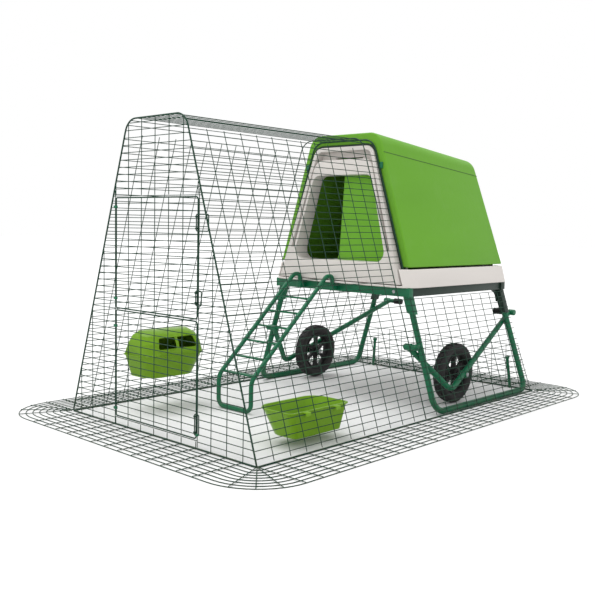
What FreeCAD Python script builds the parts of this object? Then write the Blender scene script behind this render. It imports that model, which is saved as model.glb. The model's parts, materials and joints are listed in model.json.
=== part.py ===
"""Chicken coop on a wheeled stand with a wire run, its ladder and two feeders.

Millimetres, +Z up. X runs across the coop, Y from the run's doors (-Y) to the house's back (+Y).
The origin is on the ground under the middle. Every sub-part is written to parts/NODE.step.
"""
import FreeCAD, Part
import math
import os

V = FreeCAD.Vector

# ---------------------------------------------------------------- driving dimensions
BAY = 76.2                # pitch of the mesh's long-way wires
ROW = 25.4                # pitch of the mesh's short-way wires
WIRE = 2.6                # mesh wire
RIM = 6.0                 # the heavier wire round every panel
RUN_BAYS = 12             # bays along the run
BASE_WIDTH = 1040.0       # across the two side panels, at the ground
BASE_LENGTH = 1783.0      # run and house together, at the ground
LEAN = 0.3255             # how far a side leans in, per unit of height
CROWN = 1107.0            # top of the run's arches
ARCH_BEND = 62.0          # bend at an arch's shoulders
SHOULDER_Z = 1058.0       # where the side panels end and the roof panel begins
SKIRT_ROWS = 8            # rings of the anti-dig skirt
GAP = 1.0                 # clearance between pieces that move past each other

DOOR_HALF = 228.6         # half-width of the run's doors
DOOR_BAR = 5.0            # door frame bar
LOWER_DOOR_Z = (33.0, 429.0)
UPPER_DOOR_Z = (432.0, 835.0)
DOOR_CORNER = 12.0        # outside corner of a door frame

REAR_PANEL_TOP = 203.2    # low mesh panel under the house's back
REAR_LEAN = 0.0727        # how far the back of the coop leans forward, per unit of height
HOUSE_MESH_TOP = 456.0    # top of the mesh beside the stand

STAND_TUBE = 25.0         # stand legs and ground rails
STAND_INSET = 18.0        # the stand's tubes stand this far inside the mesh
STAND_FRONT_Y = 1008.0
STAND_REAR_Y = 1749.0
FRONT_BEND = 60.0         # bends of a stand loop at its front and back foot
REAR_BEND = 40.0
STAND_TOP = 462.0         # the tubes end under the upper frame
REAR_LEG_LEAN = 0.034     # how far a rear leg leans forward, per unit of height

BEAM_Z = (467.0, 503.0)   # cross beams and side rails of the upper frame
BEAM_Y = (978.0, 1008.0)   # front cross beam
BEAM_HALF = 372.0         # half-length of the cross beams
SIDE_BEAM_WIDTH = 32.0
SLEEVE = (29.0, 34.0)     # sleeve that takes a leg, across and along the coop
FRONT_SLEEVE_END = 402.0  # foot of the sleeves over the front and the back legs
REAR_SLEEVE_END = 362.0

TUB_Z = (503.0, 577.0)    # the house's floor tub
TUB_BASE_HALF = 390.0     # half-width at its foot
TUB_LEAN = 0.284          # how far its sides lean in, per unit of height
TUB_FRONT_Y = 957.0
TUB_REAR_Y = 1743.0
TUB_CORNER = 78.0
TUB_WALL = 26.0
TUB_FLOOR = 8.0

COVER_HALF = 547.0        # half-width of the cover's side planes, brought down to the ground
COVER_LEAN = 0.318
COVER_BOTTOM = 585.0
COVER_CROWN = 1138.0      # at the front
CROWN_FALL = 0.1003       # fall of the crown towards the back
COVER_FRONT_Y = 997.0
COVER_REAR_Y = 1734.0
COVER_REAR_LEAN = 0.0922
COVER_SHOULDER = 68.0     # outside bend where a side turns into the crown
COVER_INNER_BEND = 56.0
COVER_WALL = 36.0         # insulated wall of the sides
CROWN_WALL = 46.0

SEAL = 8.0                # rubber seal between a panel and the cover
PANEL_FRONT_Y = 962.0     # front panel's face at its foot
PANEL_LEAN = 0.05         # the front panel leans back, per unit of height
PANEL_BOTTOM = 515.0
PANEL_DEPTH = 66.0        # depth of the front panel's moulding
PANEL_RIM = 17.0          # raised rim round the panel
RECESS_DEPTH = 44.0       # depth of the channel behind the rim
DOORWAY_HALF = 255.0      # at DOORWAY_REF
DOORWAY_REF = 620.0
DOORWAY_LEAN = 0.281      # how far a jamb leans in, per unit of height
DOORWAY_Z = (600.0, 965.0)
DOORWAY_BEND = 42.0
SURROUND = 12.0           # raised edge round the doorway
SURROUND_TOP = 1030.0
LEAF = 4.0                # thickness of a door leaf
LEAF_EDGE_X = (-52.0, -29.0)    # free edge of the fixed leaf, at the doorway's foot and head
LEAF_TRAVEL = 207.0       # how far the sliding leaf moves
LEAF_OVERLAP = 12.0       # how far it laps the doorway's edge

WHEEL_R = 128.0
WHEEL_WIDTH = 48.0
WHEEL_X = 399.0           # middle of a tyre
WHEEL_Y = 1287.0
WHEEL_Z = 129.0
RIM_R = 84.0              # outside of the wheel's rim
HUB_R = 21.0
SPOKES = 6
AXLE = 12.0               # diameter of a stub axle
ARM_TUBE = 24.0
ARM_PIVOT = (976.0, 267.0)    # Y and Z of the arms' pivot
ARM_HUB_X = (364.0, 398.0)# inner and outer end of a pivot hub
ARM_START_X = 380.0
ARM_ELBOW = (476.0, 1152.0, 81.0)# where an arm turns up behind its wheel
ARM_END = (356.0, 1830.0, 352.0)# centre of its cross handle
ARM_BEND = 45.0
PIVOT_PIN = 10.0          # diameter
RUN_FIT = 0.05            # radial clearance of a running fit

LADDER_X = -104.0         # middle of the ladder
LADDER_WIDTH = 191.0      # rail to rail, between centres
LADDER_TUBE = 18.0
LADDER_FOOT_Y = 476.0
LADDER_KNEE_Z = 133.0     # the rails turn from upright to sloping here
LADDER_SLOPE = 0.92       # rise per unit of length above the knee
LADDER_TOP_Z = 541.0
RUNGS = 6
FOOT_BEND = 30.0
LADDER_LEG_Y = 948.0      # flattened ends, hanging in sockets on the front beam
HOOK_BAR = (18.0, 6.0)    # section of a flattened end
HOOK_BEND = 14.0
LADDER_TOP_BEND = 34.0
SOCKET_Z = (472.0, 494.0)
SOCKET_GAP = 0.4

TRAY_LENGTH = 300.0       # a feeder's tray
TRAY_DEPTH = 168.0
TRAY_HEIGHT = 92.0
TRAY_WALL = 3.0
TRAY_Y = 352.0
BOWL_Y = 322.0
HOOD_HEIGHT = 92.0

LENGTH_SHIFT = V(0, -BASE_LENGTH / 2, 0)
RUN_LENGTH = RUN_BAYS * BAY
SIDE_COS = 1 / math.hypot(1, LEAN)
BASE_HALF = BASE_WIDTH / 2

JAMB_X = DOOR_HALF + DOOR_BAR + GAP# middle of the bars beside the doors
JAMB_IN, JAMB_OUT = JAMB_X - DOOR_BAR / 2, JAMB_X + DOOR_BAR / 2
HEADER_Z = UPPER_DOOR_Z[1] + GAP# bar over the upper door
SILL_TOP = LOWER_DOOR_Z[0] - GAP
CLIP_HEIGHT = 9.0         # a hinge clip
CLIP_WALL = 1.9
CLIP_ROWS = (2, 14, 18, 31)       # mesh rows that the hinge clips sit above
LATCH_BAR = 4.0           # width of a latch's square wire
LATCH_EYE = 6.0           # width of the eyes that it passes through
LATCHES = {"latch_upper": ((720.0, 778.0), 62.0), "latch_middle": ((478.0, 530.0), 30.0),
           "latch_lower": ((48.0, 122.0), 20.0)}
LATCH_EYES = {"run_door_upper": (730.0, 768.0, 488.0, 520.0), "run_door_lower": (58.0, 112.0)}
LATCH_X = DOOR_HALF
LATCH_Y = -DOOR_BAR / 2 - LATCH_BAR / 2 - 2.5
EYE_BORE = LATCH_BAR * math.sqrt(0.5) + 0.35
FAN_WIRES = 3             # wires that fan out across a skirt corner
CORNERS = ((BASE_HALF, BASE_LENGTH, 0), (-BASE_HALF, BASE_LENGTH, 90),
           (-BASE_HALF, 0, 180), (BASE_HALF, 0, 270))
BOLT_X = 300.0            # bolts of the upper frame
CROSS_IN = 278.0          # inner end of an arm's cross handle
CROSS_OUT = 30.0          # how far its outer knob stands out
GRIP = 42.0               # length of an arm's rubber grip
PANEL_BACK_Y = PANEL_FRONT_Y + PANEL_DEPTH + 18
CHANNEL_LOW = 650.0       # foot of the sunk channel
VENT = 150.0              # length of the slot over the doorway
LEAF_Y = 1040.0
REAR_PANEL_FRONT = 12.0   # the rear panel's two faces, in from the cover's back edge
REAR_PANEL_BACK = 50.0
HANDLE_Z = 800.0          # height of the rear panel's grip
TRAY_IN_Y = 1052.0
TRAY_RIM = 30.0           # height of the droppings tray
ROOSTS = 5                # bars of the roost
ROOST_PITCH = 76.0
ROOST_Z = 551.0
CLIP_Z = (987.0, 1013.0)  # cover clips
RUNG_Z = (150.0, 440.0)   # lowest and highest rung
# each level of the hood: share of its height, then how far its front, back and ends have come in
HOOD_STEPS = ((0.0, -2.0, 0.0, -2.0), (0.5, 8.0, 0.0, 5.0),
              (0.82, 26.0, 3.0, 16.0), (1.0, 54.0, 14.0, 34.0))
TRAY_FLARE = 30.0         # how far a feeder's sides spread
TRAY_CORNER = 60.0
TRAY_ROW = 5              # mesh row that the tray hangs on
BOWL_ROW = 9
LIP = 5.0                 # rolled edge of a feeder
HOOK_REST = 0.5           # clearance of a feeder's hook on its wire
HOOK_WALL = 3.5
HOOK_HALF = 12.0
HOOK_LEG = 8.0
VESSEL_SETBACK = 12.0
MULLION = 12.0            # bar between the hood's windows
WINDOW = (92.0, 24.0, 44.0)    # length, height above the rim, height
PIN_X = 409.0             # long pins that hold the house's rear mesh, at the ground
PIN_R = 7.0
PIN_SPAN = (1.0, 138.0)
PIN_LEAN = 0.33


# ---------------------------------------------------------------- small helpers

def save(name, *shapes):
    """Write one node; its solids stay separate."""
    placed = [s.translated(LENGTH_SHIFT) for s in shapes]
    solids = [piece for s in placed for piece in s.Solids]
    shape = solids[0] if len(solids) == 1 else Part.makeCompound(solids)
    shape.exportStep(f"parts/{name}.step")


def mirror(shape):
    return shape.mirror(V(0, 0, 0), V(1, 0, 0))


def block(x, y, z):
    """A box from three (low, high) pairs."""
    return Part.makeBox(x[1] - x[0], y[1] - y[0], z[1] - z[0], V(x[0], y[0], z[0]))


def rod(start, end, radius):
    axis = V(*end) - V(*start)
    return Part.makeCylinder(radius, axis.Length, V(*start), axis)


def hollow_rod(start, end, radius, bore):
    return rod(start, end, radius).cut(rod(start, end, bore))


def rounded(points, radii, closed=True):
    """A wire through points, each corner rounded by its radius (0 keeps it sharp)."""
    pts = [V(*p) for p in points]
    count = len(pts)
    ends = []
    for i, corner in enumerate(pts):
        inner = closed or 0 < i < count - 1
        radius = radii[i] if inner else 0
        if radius <= 0:
            ends.append((corner, None, corner))
            continue
        back = (pts[i - 1] - corner).normalize()
        ahead = (pts[(i + 1) % count] - corner).normalize()
        half = back.getAngle(ahead) / 2
        reach = radius / math.tan(half)
        middle = corner + (back + ahead).normalize() * (radius / math.sin(half) - radius)
        ends.append((corner + back * reach, middle, corner + ahead * reach))
    edges = []
    for i in range(count if closed else count - 1):
        leave, arrive = ends[i][2], ends[(i + 1) % count][0]
        if leave.distanceToPoint(arrive) > 1e-6:
            edges.append(Part.LineSegment(leave, arrive).toShape())
        start, middle, end = ends[(i + 1) % count]
        if middle is not None:
            edges.append(Part.Arc(start, middle, end).toShape())
    return Part.Wire(edges)


def prism(points, radii, along):
    """A closed outline pushed along a vector."""
    return Part.Face(rounded(points, radii)).extrude(V(*along))


def tube(points, bends, radius):
    """A round tube along a path with tangent bends."""
    path = rounded(points, [0] + list(bends) + [0], closed=False)
    start, ahead = V(*points[0]), V(*points[1]) - V(*points[0])
    ring = Part.Wire(Part.Circle(start, ahead, radius).toShape())
    return path.makePipeShell([ring], True, False)


def fused(first, *others):
    return first.multiFuse(list(others)).removeSplitter()


# ---------------------------------------------------------------- the coop's leaning sides
def side_x(z, inset=0.0):
    """Half-width of the mesh's planes at height z; inset is measured square to the plane."""
    return BASE_HALF - inset / SIDE_COS - LEAN * z


def arch_region(inset, low, thickness, y):
    """The arch's outline, inset all round, as a slab from height low, starting at y."""
    top = CROWN - inset
    points = [(-side_x(low, inset), y, low), (side_x(low, inset), y, low),
              (side_x(top, inset), y, top), (-side_x(top, inset), y, top)]
    bend = ARCH_BEND - inset
    return prism(points, [0, 0, bend, bend], (0, thickness, 0))


def arch_bar(outer, inner, low, thickness, y):
    """A bent bar between two insets of the arch's outline."""
    return arch_region(outer, low, thickness, y).cut(arch_region(inner, low - 1, thickness, y))


def arch_end(x, inset, half):
    """Top of an upright wire of half-width half at x, just under the arch bar."""
    reach = abs(x) + half
    top = CROWN - inset
    bend = ARCH_BEND - inset
    corner = side_x(top, inset)
    bend_x = corner - bend * math.tan((math.pi / 2 - math.atan(LEAN)) / 2)
    height = (BASE_HALF - inset / SIDE_COS - reach) / LEAN
    if reach <= bend_x:
        return top
    arc = top - bend + math.sqrt(max(bend ** 2 - (reach - bend_x) ** 2, 0.0))
    return min(height, arc) if reach < corner else height


def side_wire(s_range, y_range, n_range, side):
    """A bar lying in a leaning side: s up the slope, n square to it and outwards."""
    up = V(-LEAN, 0, 1).normalize()
    out = V(1, 0, LEAN).normalize()
    foot = V(BASE_HALF, 0, 0)
    corner = foot + up * s_range[0] + out * n_range[0] + V(0, y_range[0], 0)
    rise = up * (s_range[1] - s_range[0])
    wide = out * (n_range[1] - n_range[0])
    face = Part.Face(Part.makePolygon([corner, corner + rise, corner + rise + wide, corner + wide, corner]))
    bar = face.extrude(V(0, y_range[1] - y_range[0], 0))
    return bar if side > 0 else mirror(bar)


def slope(z):
    """Distance up the slope for a height."""
    return z / SIDE_COS


def rear_y(z):
    """The back of the coop at height z."""
    return BASE_LENGTH - REAR_LEAN * z


def side_panel(side, y_low, y_high, z_top, first_bay, last_bay, top_rim, back_lean=0.0):
    """Wires of one side panel: uprights outside, long wires inside."""
    low, high = slope(RIM) + WIRE, slope(z_top)
    bars = []
    for k in range(first_bay, last_bay + 1):
        y = k * BAY
        bars.append(side_wire((low, high), (y - WIRE / 2, y + WIRE / 2), (0, WIRE), side))
    row = 1
    while row * ROW < high - ROW / 3:
        s = row * ROW
        end = y_high - back_lean * (s * SIDE_COS)
        bars.append(side_wire((s - WIRE / 2, s + WIRE / 2), (y_low, end), (-WIRE, 0), side))
        row += 1
    if top_rim:
        end = y_high - back_lean * z_top
        bars.append(side_wire((high, high + RIM), (y_low, end), (-RIM / 2, RIM / 2), side))
    return bars


# ---------------------------------------------------------------- the run
def arches():
    """The two bent bars that carry the run's panels."""
    save("front_arch", arch_bar(-RIM / 2, RIM / 2, RIM, RIM, -RIM / 2))
    save("house_arch", arch_bar(-RIM / 2, RIM / 2, RIM, RIM, RUN_LENGTH - RIM / 2))


def run_sides():
    y_low, y_high = RIM / 2, RUN_LENGTH - RIM / 2
    for name, side in (("run_side_right", 1), ("run_side_left", -1)):
        save(name, *side_panel(side, y_low, y_high, SHOULDER_Z, 1, RUN_BAYS - 1, False))


def run_roof():
    """Cross wires bent over the shoulders, long wires laid under them."""
    low, high = RIM / 2, RUN_LENGTH - RIM / 2
    start_z = SHOULDER_Z + WIRE
    bars = []
    for k in range(1, RUN_BAYS):
        bars.append(arch_bar(-WIRE, 0, start_z, WIRE, k * BAY - WIRE / 2))
    turn = math.pi / 2 - math.atan(LEAN)
    bend_x = side_x(CROWN) - ARCH_BEND * math.tan(turn / 2)
    count = int(bend_x // ROW)
    for j in range(-count, count + 1):
        x = j * ROW
        bars.append(block((x - WIRE / 2, x + WIRE / 2), (low, high), (CROWN - WIRE, CROWN)))
    for side in (-1, 1):
        for part in (1, 2):
            angle = turn * part / 3
            bar = block((-WIRE / 2, WIRE / 2), (low, high), (ARCH_BEND - WIRE, ARCH_BEND))
            bar.rotate(V(0, 0, 0), V(0, 1, 0), math.degrees(angle) * side)
            bar.translate(V(side * bend_x, 0, CROWN - ARCH_BEND))
            bars.append(bar)
    save("run_roof", *bars)


def front_mesh():
    """The fixed mesh round the doors, with the jambs, header and sill."""
    bars = []
    for side in (-1, 1):
        x = side * JAMB_X
        top = arch_end(x, RIM / 2, DOOR_BAR / 2)
        bars.append(block((x - DOOR_BAR / 2, x + DOOR_BAR / 2), (-DOOR_BAR / 2, DOOR_BAR / 2), (RIM, top)))
    bars.append(block((-JAMB_IN, JAMB_IN), (-DOOR_BAR / 2, DOOR_BAR / 2), (HEADER_Z, HEADER_Z + DOOR_BAR)))
    bars.append(block((-JAMB_IN, JAMB_IN), (-DOOR_BAR / 2, DOOR_BAR / 2), (SILL_TOP - DOOR_BAR, SILL_TOP)))
    half_bays = int((BASE_HALF - RIM) // BAY)
    for k in range(-half_bays, half_bays + 1):
        x = k * BAY
        spans = []
        top = arch_end(x, RIM / 2, WIRE / 2)
        if abs(x) + WIRE < JAMB_IN:
            spans = [(RIM, SILL_TOP - DOOR_BAR), (HEADER_Z + DOOR_BAR, top)]
        elif abs(x) - WIRE > JAMB_OUT:
            spans = [(RIM, top)]
        for low, high in spans:
            bars.append(block((x - WIRE / 2, x + WIRE / 2), (-WIRE, 0), (low, high)))
    row = 1
    while row * ROW < CROWN - ROW / 2:
        z = row * ROW
        span_z = (z - WIRE / 2, z + WIRE / 2)
        end = row_end(z)
        if end > JAMB_OUT + WIRE:
            bars.append(block((JAMB_OUT, end), (0, WIRE), span_z))
            bars.append(block((-end, -JAMB_OUT), (0, WIRE), span_z))
        if z > HEADER_Z + DOOR_BAR + WIRE:
            inner = min(end, JAMB_IN)
            bars.append(block((-inner, inner), (0, WIRE), span_z))
        row += 1
    save("front_mesh", *bars)


def row_end(z):
    """Where a level wire meets the inside of the arch bar."""
    inset = RIM / 2
    top = z + WIRE / 2
    bend = ARCH_BEND - inset
    crown = CROWN - inset
    turn = math.pi / 2 - math.atan(LEAN)
    bend_x = side_x(crown, inset) - bend * math.tan(turn / 2)
    tangent_z = crown - bend * math.tan(turn / 2) * SIDE_COS
    if top <= tangent_z:
        return side_x(top, inset)
    return bend_x + math.sqrt(max(bend ** 2 - (top - crown + bend) ** 2, 0.0))


def door(name, z_range, low_corner):
    """A run door: a bar frame with its mesh, hung on its round left bar."""
    low, high = z_range
    half = DOOR_HALF + DOOR_BAR / 2
    soft = DOOR_BAR * 0.7
    outline = [(-half, -DOOR_BAR / 2, low), (half, -DOOR_BAR / 2, low),
               (half, -DOOR_BAR / 2, high), (-half, -DOOR_BAR / 2, high)]
    inside = [(x - math.copysign(DOOR_BAR, x), y, z + (DOOR_BAR if z == low else -DOOR_BAR))
              for x, y, z in outline]
    frame = prism(outline, [0, low_corner, soft, 0], (0, DOOR_BAR, 0))
    frame = frame.cut(prism(inside, [0, max(low_corner - DOOR_BAR, 0), 0, 0], (0, DOOR_BAR, 0)))
    hinge_side = block((-half - 1, -DOOR_HALF), (-DOOR_BAR, DOOR_BAR), (low - 1, high + 1))
    frame = frame.cut(hinge_side)
    bar_rest = block((-DOOR_HALF - 1, -DOOR_HALF + DOOR_BAR / 2), (-DOOR_BAR, DOOR_BAR),
                     (low + DOOR_BAR, high - DOOR_BAR))
    frame = frame.cut(bar_rest)
    hinge_bar = rod((-DOOR_HALF, 0, low), (-DOOR_HALF, 0, high), DOOR_BAR / 2)
    eyes = [latch_eye(z) for z in LATCH_EYES[name]]
    frame = fused(frame, hinge_bar, *eyes)
    bars = [frame]
    in_left, in_right = -DOOR_HALF + DOOR_BAR / 2, DOOR_HALF - DOOR_BAR / 2
    for k in range(-int(DOOR_HALF // BAY), int(DOOR_HALF // BAY) + 1):
        x = k * BAY
        if abs(x) + ROW < DOOR_HALF:
            span = (low + DOOR_BAR, high - DOOR_BAR)
            bars.append(block((x - WIRE / 2, x + WIRE / 2), (-WIRE, 0), span))
    row = math.ceil((low + DOOR_BAR + WIRE) / ROW)
    while row * ROW < high - DOOR_BAR - WIRE:
        z = row * ROW
        bars.append(block((in_left, in_right), (0, WIRE), (z - WIRE / 2, z + WIRE / 2)))
        row += 1
    save(name, *bars)


def hinge_clips():
    """Moulded clips that hold each door's round bar to the left jamb."""
    clips = []
    for z in CLIP_ROWS:
        middle = (z + 0.5) * ROW
        low, high = middle - CLIP_HEIGHT / 2, middle + CLIP_HEIGHT / 2
        eye = DOOR_BAR / 2 + GAP * 0.4
        body = block((-JAMB_OUT - CLIP_WALL, -DOOR_HALF), (-eye - CLIP_WALL, eye + CLIP_WALL), (low, high))
        ring = rod((-DOOR_HALF, 0, low), (-DOOR_HALF, 0, high), eye + CLIP_WALL)
        jamb = block((-JAMB_OUT, -JAMB_IN), (-DOOR_BAR / 2, DOOR_BAR / 2), (low, high))
        clips.append(fused(body, ring).cut(rod((-DOOR_HALF, 0, low), (-DOOR_HALF, 0, high), eye)).cut(jamb))
    save("door_hinge_clips", *clips)


def latch_eye(z):
    """An eye on the door's right bar that a latch turns in."""
    reach = EYE_BORE + 1.4
    low, high = z - LATCH_EYE / 2, z + LATCH_EYE / 2
    body = block((LATCH_X - DOOR_BAR / 2, LATCH_X + DOOR_BAR / 2), (LATCH_Y, -DOOR_BAR / 2), (low, high))
    ring = rod((LATCH_X, LATCH_Y, low), (LATCH_X, LATCH_Y, high), reach)
    return fused(body, ring).cut(rod((LATCH_X, LATCH_Y, low), (LATCH_X, LATCH_Y, high), EYE_BORE))


def latches():
    """Bent-wire loops that swing across the right jamb."""
    for name, (z_range, reach) in LATCHES.items():
        half = LATCH_BAR / 2
        y = LATCH_Y - half
        left, right = LATCH_X - half, LATCH_X + reach
        low, high = z_range
        outer = [(left, y, low), (right, y, low), (right, y, high), (left, y, high)]
        inner = [(left + LATCH_BAR, y, low + LATCH_BAR), (right - LATCH_BAR, y, low + LATCH_BAR),
                 (right - LATCH_BAR, y, high - LATCH_BAR), (left + LATCH_BAR, y, high - LATCH_BAR)]
        loop = prism(outer, [6, 8, 8, 6], (0, LATCH_BAR, 0))
        loop = loop.cut(prism(inner, [2, 4, 4, 2], (0, LATCH_BAR, 0)))
        if name == "latch_lower":
            knob = rod((right - 2, y, low + 6), (right - 2, y - 9, low + 6), 5)
            loop = fused(loop, knob)
        save(name, loop)


def base_ring():
    """The heavy wire round the foot of all the panels, lying on the ground."""
    outer, inner = BASE_HALF + RIM / 2, BASE_HALF - RIM / 2
    near, far = (-RIM / 2, RIM / 2), (BASE_LENGTH - RIM / 2, BASE_LENGTH + RIM / 2)
    along = (near[0], far[1])
    save("base_ring", block((inner, outer), along, (0, RIM)), block((-outer, -inner), along, (0, RIM)),
         block((-inner, inner), near, (0, RIM)), block((-inner, inner), far, (0, RIM)))


def skirt():
    """Flat mesh apron against digging: four straight panels and four corner fans."""
    low, high = (0, WIRE), (WIRE, 2 * WIRE)
    reach = SKIRT_ROWS * ROW + WIRE / 2
    start = RIM / 2
    straight, corners = [], []
    for i in range(1, SKIRT_ROWS + 1):
        near, far = i * ROW - WIRE / 2, i * ROW + WIRE / 2
        straight.append(block((-BASE_HALF, BASE_HALF), (-far, -near), low))
        straight.append(block((-BASE_HALF, BASE_HALF), (BASE_LENGTH + near, BASE_LENGTH + far), low))
        for side in (1, -1):
            across = sorted((side * (BASE_HALF + near), side * (BASE_HALF + far)))
            straight.append(block(across, (0, BASE_LENGTH), low))
        for x, y, turn in CORNERS:
            ring = Part.makeCylinder(far, WIRE, V(x, y, 0), V(0, 0, 1), 90)
            ring = ring.cut(Part.makeCylinder(near, WIRE, V(x, y, 0)))
            ring.rotate(V(x, y, 0), V(0, 0, 1), turn)
            corners.append(ring)
    half_bays = int(BASE_HALF // BAY)
    for k in range(-half_bays, half_bays + 1):
        span = (k * BAY - WIRE / 2, k * BAY + WIRE / 2)
        straight.append(block(span, (-reach, -start), high))
        straight.append(block(span, (BASE_LENGTH + start, BASE_LENGTH + reach), high))
    for k in range(0, int(BASE_LENGTH // BAY) + 1):
        span = (k * BAY - WIRE / 2, k * BAY + WIRE / 2)
        for side in (1, -1):
            across = sorted((side * (BASE_HALF + start), side * (BASE_HALF + reach)))
            straight.append(block(across, span, high))
    for x, y, turn in CORNERS:
        for part in range(1, FAN_WIRES + 1):
            bar = block((RIM, reach), (-WIRE / 2, WIRE / 2), high)
            bar.rotate(V(0, 0, 0), V(0, 0, 1), turn + 90 * part / (FAN_WIRES + 1))
            bar.translate(V(x, y, 0))
            corners.append(bar)
    save("skirt", *straight)
    save("skirt_corners", *corners)


# ---------------------------------------------------------------- mesh round the stand
def under_house_sides():
    first, last = RUN_BAYS + 1, int(rear_y(HOUSE_MESH_TOP) // BAY)
    y_low, y_high = RUN_LENGTH + RIM / 2, BASE_LENGTH - RIM
    for name, side in (("house_side_mesh_right", 1), ("house_side_mesh_left", -1)):
        bars = side_panel(side, y_low, y_high, HOUSE_MESH_TOP, first, last, True, REAR_LEAN)
        save(name, *bars)


def rear_panel_mesh():
    """Low leaning mesh panel across the back, between its own corner posts."""
    shear_foot = V(0, BASE_LENGTH, 0)
    up = V(0, -REAR_LEAN, 1).normalize()
    back = V(0, 1, REAR_LEAN).normalize()
    length = REAR_PANEL_TOP * math.hypot(1, REAR_LEAN)
    low = RIM + WIRE

    def bar(x_low, x_high, s_low, s_high, n_low, n_high):
        corner = shear_foot + V(x_low, 0, 0) + up * s_low + back * n_low
        rise, thick = up * (s_high - s_low), back * (n_high - n_low)
        outline = [corner, corner + rise, corner + rise + thick, corner + thick, corner]
        face = Part.Face(Part.makePolygon(outline))
        return face.extrude(V(x_high - x_low, 0, 0))

    bars = []
    inset = RIM * 1.2
    for side in (-1, 1):
        foot = V(side * (side_x(low, inset) - RIM / 2), 0, 0) + shear_foot + up * low
        head = V(side * (side_x(REAR_PANEL_TOP, inset) - RIM / 2), 0, 0) + shear_foot + up * length
        ring = Part.makePolygon([foot + V(-RIM / 2, -RIM / 2, 0), foot + V(RIM / 2, -RIM / 2, 0),
                                 foot + V(RIM / 2, RIM / 2, 0), foot + V(-RIM / 2, RIM / 2, 0),
                                 foot + V(-RIM / 2, -RIM / 2, 0)])
        bars.append(Part.Face(ring).extrude(head - foot))
    for k in range(-int(BASE_HALF // BAY), int(BASE_HALF // BAY) + 1):
        x = k * BAY
        limit = (BASE_HALF - inset / SIDE_COS - RIM - abs(x) - WIRE) / LEAN
        high = min(length, limit)
        if high > low + ROW:
            bars.append(bar(x - WIRE / 2, x + WIRE / 2, low, high, 0, WIRE))
    row = 1
    while row * ROW < length - ROW / 2:
        half = side_x(row * ROW + WIRE, inset) - RIM
        bars.append(bar(-half, half, row * ROW - WIRE / 2, row * ROW + WIRE / 2, -WIRE, 0))
        row += 1
    half = side_x(REAR_PANEL_TOP, inset)
    bars.append(bar(-half, half, length, length + RIM, -RIM / 2, RIM / 2))
    save("rear_mesh", *bars)


# ---------------------------------------------------------------- stand
def leg_x(z):
    return BASE_HALF - STAND_INSET - LEAN * z


def sleeve(y, end_z, slant):
    """A sleeve round the top of a leg; slant lengthens its outer edge."""
    half_x, half_y = SLEEVE[0] / 2, SLEEVE[1] / 2
    top = BEAM_Z[0]
    points = [(leg_x(end_z) - half_x, y - half_y, end_z),
              (leg_x(end_z - slant) + half_x, y - half_y, end_z - slant),
              (leg_x(top) + half_x, y - half_y, top), (leg_x(top) - half_x, y - half_y, top)]
    foot, head = end_z - 40, top + 10
    leg_y = rear_leg_y if y > STAND_FRONT_Y else lambda z: y
    leg = rod((leg_x(foot), leg_y(foot), foot), (leg_x(head), leg_y(head), head), STAND_TUBE / 2)
    return prism(points, [0] * 4, (0, SLEEVE[1], 0)).cut(leg)


def rear_leg_y(z):
    """The rear leg's place along the coop; it leans forward from the ground rail."""
    return STAND_REAR_Y - REAR_LEG_LEAN * (z - STAND_TUBE / 2)


def upper_frame():
    """Box-section side rails with their sleeves, and the two cross beams."""
    centre = leg_x(BEAM_Z[0])
    span = (centre - SIDE_BEAM_WIDTH / 2, centre + SIDE_BEAM_WIDTH / 2)
    rear_y_mid = rear_leg_y(BEAM_Z[0])
    rear_front = rear_y_mid - SLEEVE[1] / 2
    rail = block(span, (BEAM_Y[1], rear_front), BEAM_Z)
    gusset = 58.0
    web = prism([(centre - 4, rear_front, BEAM_Z[0]), (centre - 4, rear_front - gusset, BEAM_Z[0]),
                 (centre - 4, rear_front - gusset * 0.25, BEAM_Z[0] - gusset * 0.3),
                 (centre - 4, rear_front, BEAM_Z[0] - gusset)], [0, 0, gusset * 0.9, 0], (8, 0, 0))
    front = sleeve(STAND_FRONT_Y, FRONT_SLEEVE_END, 6.0)
    back = sleeve(rear_y_mid, REAR_SLEEVE_END, 0.0)
    parts = (rail, front, back, web)
    save("side_rail_right", *parts)
    save("side_rail_left", *[mirror(part) for part in parts])
    save("front_beam", block((-BEAM_HALF, BEAM_HALF), BEAM_Y, BEAM_Z))
    save("rear_beam", block((-BEAM_HALF, BEAM_HALF), (rear_front, rear_front + SLEEVE[1]), BEAM_Z))
    bolts = []
    middle = sum(BEAM_Z) / 2
    for x in (-BOLT_X, BOLT_X):
        bolts.append(rod((x, BEAM_Y[0] - 5, middle), (x, BEAM_Y[0], middle), 7.0))
        bolts.append(rod((x, rear_front + SLEEVE[1], middle), (x, rear_front + SLEEVE[1] + 5, middle), 7.0))
    save("beam_bolts", *bolts)


def stand_tube():
    r = STAND_TUBE / 2
    path = [(leg_x(STAND_TOP), STAND_FRONT_Y, STAND_TOP), (leg_x(r), STAND_FRONT_Y, r),
            (leg_x(r), STAND_REAR_Y, r), (leg_x(STAND_TOP), rear_leg_y(STAND_TOP), STAND_TOP)]
    return tube(path, [FRONT_BEND, REAR_BEND], r)


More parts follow.
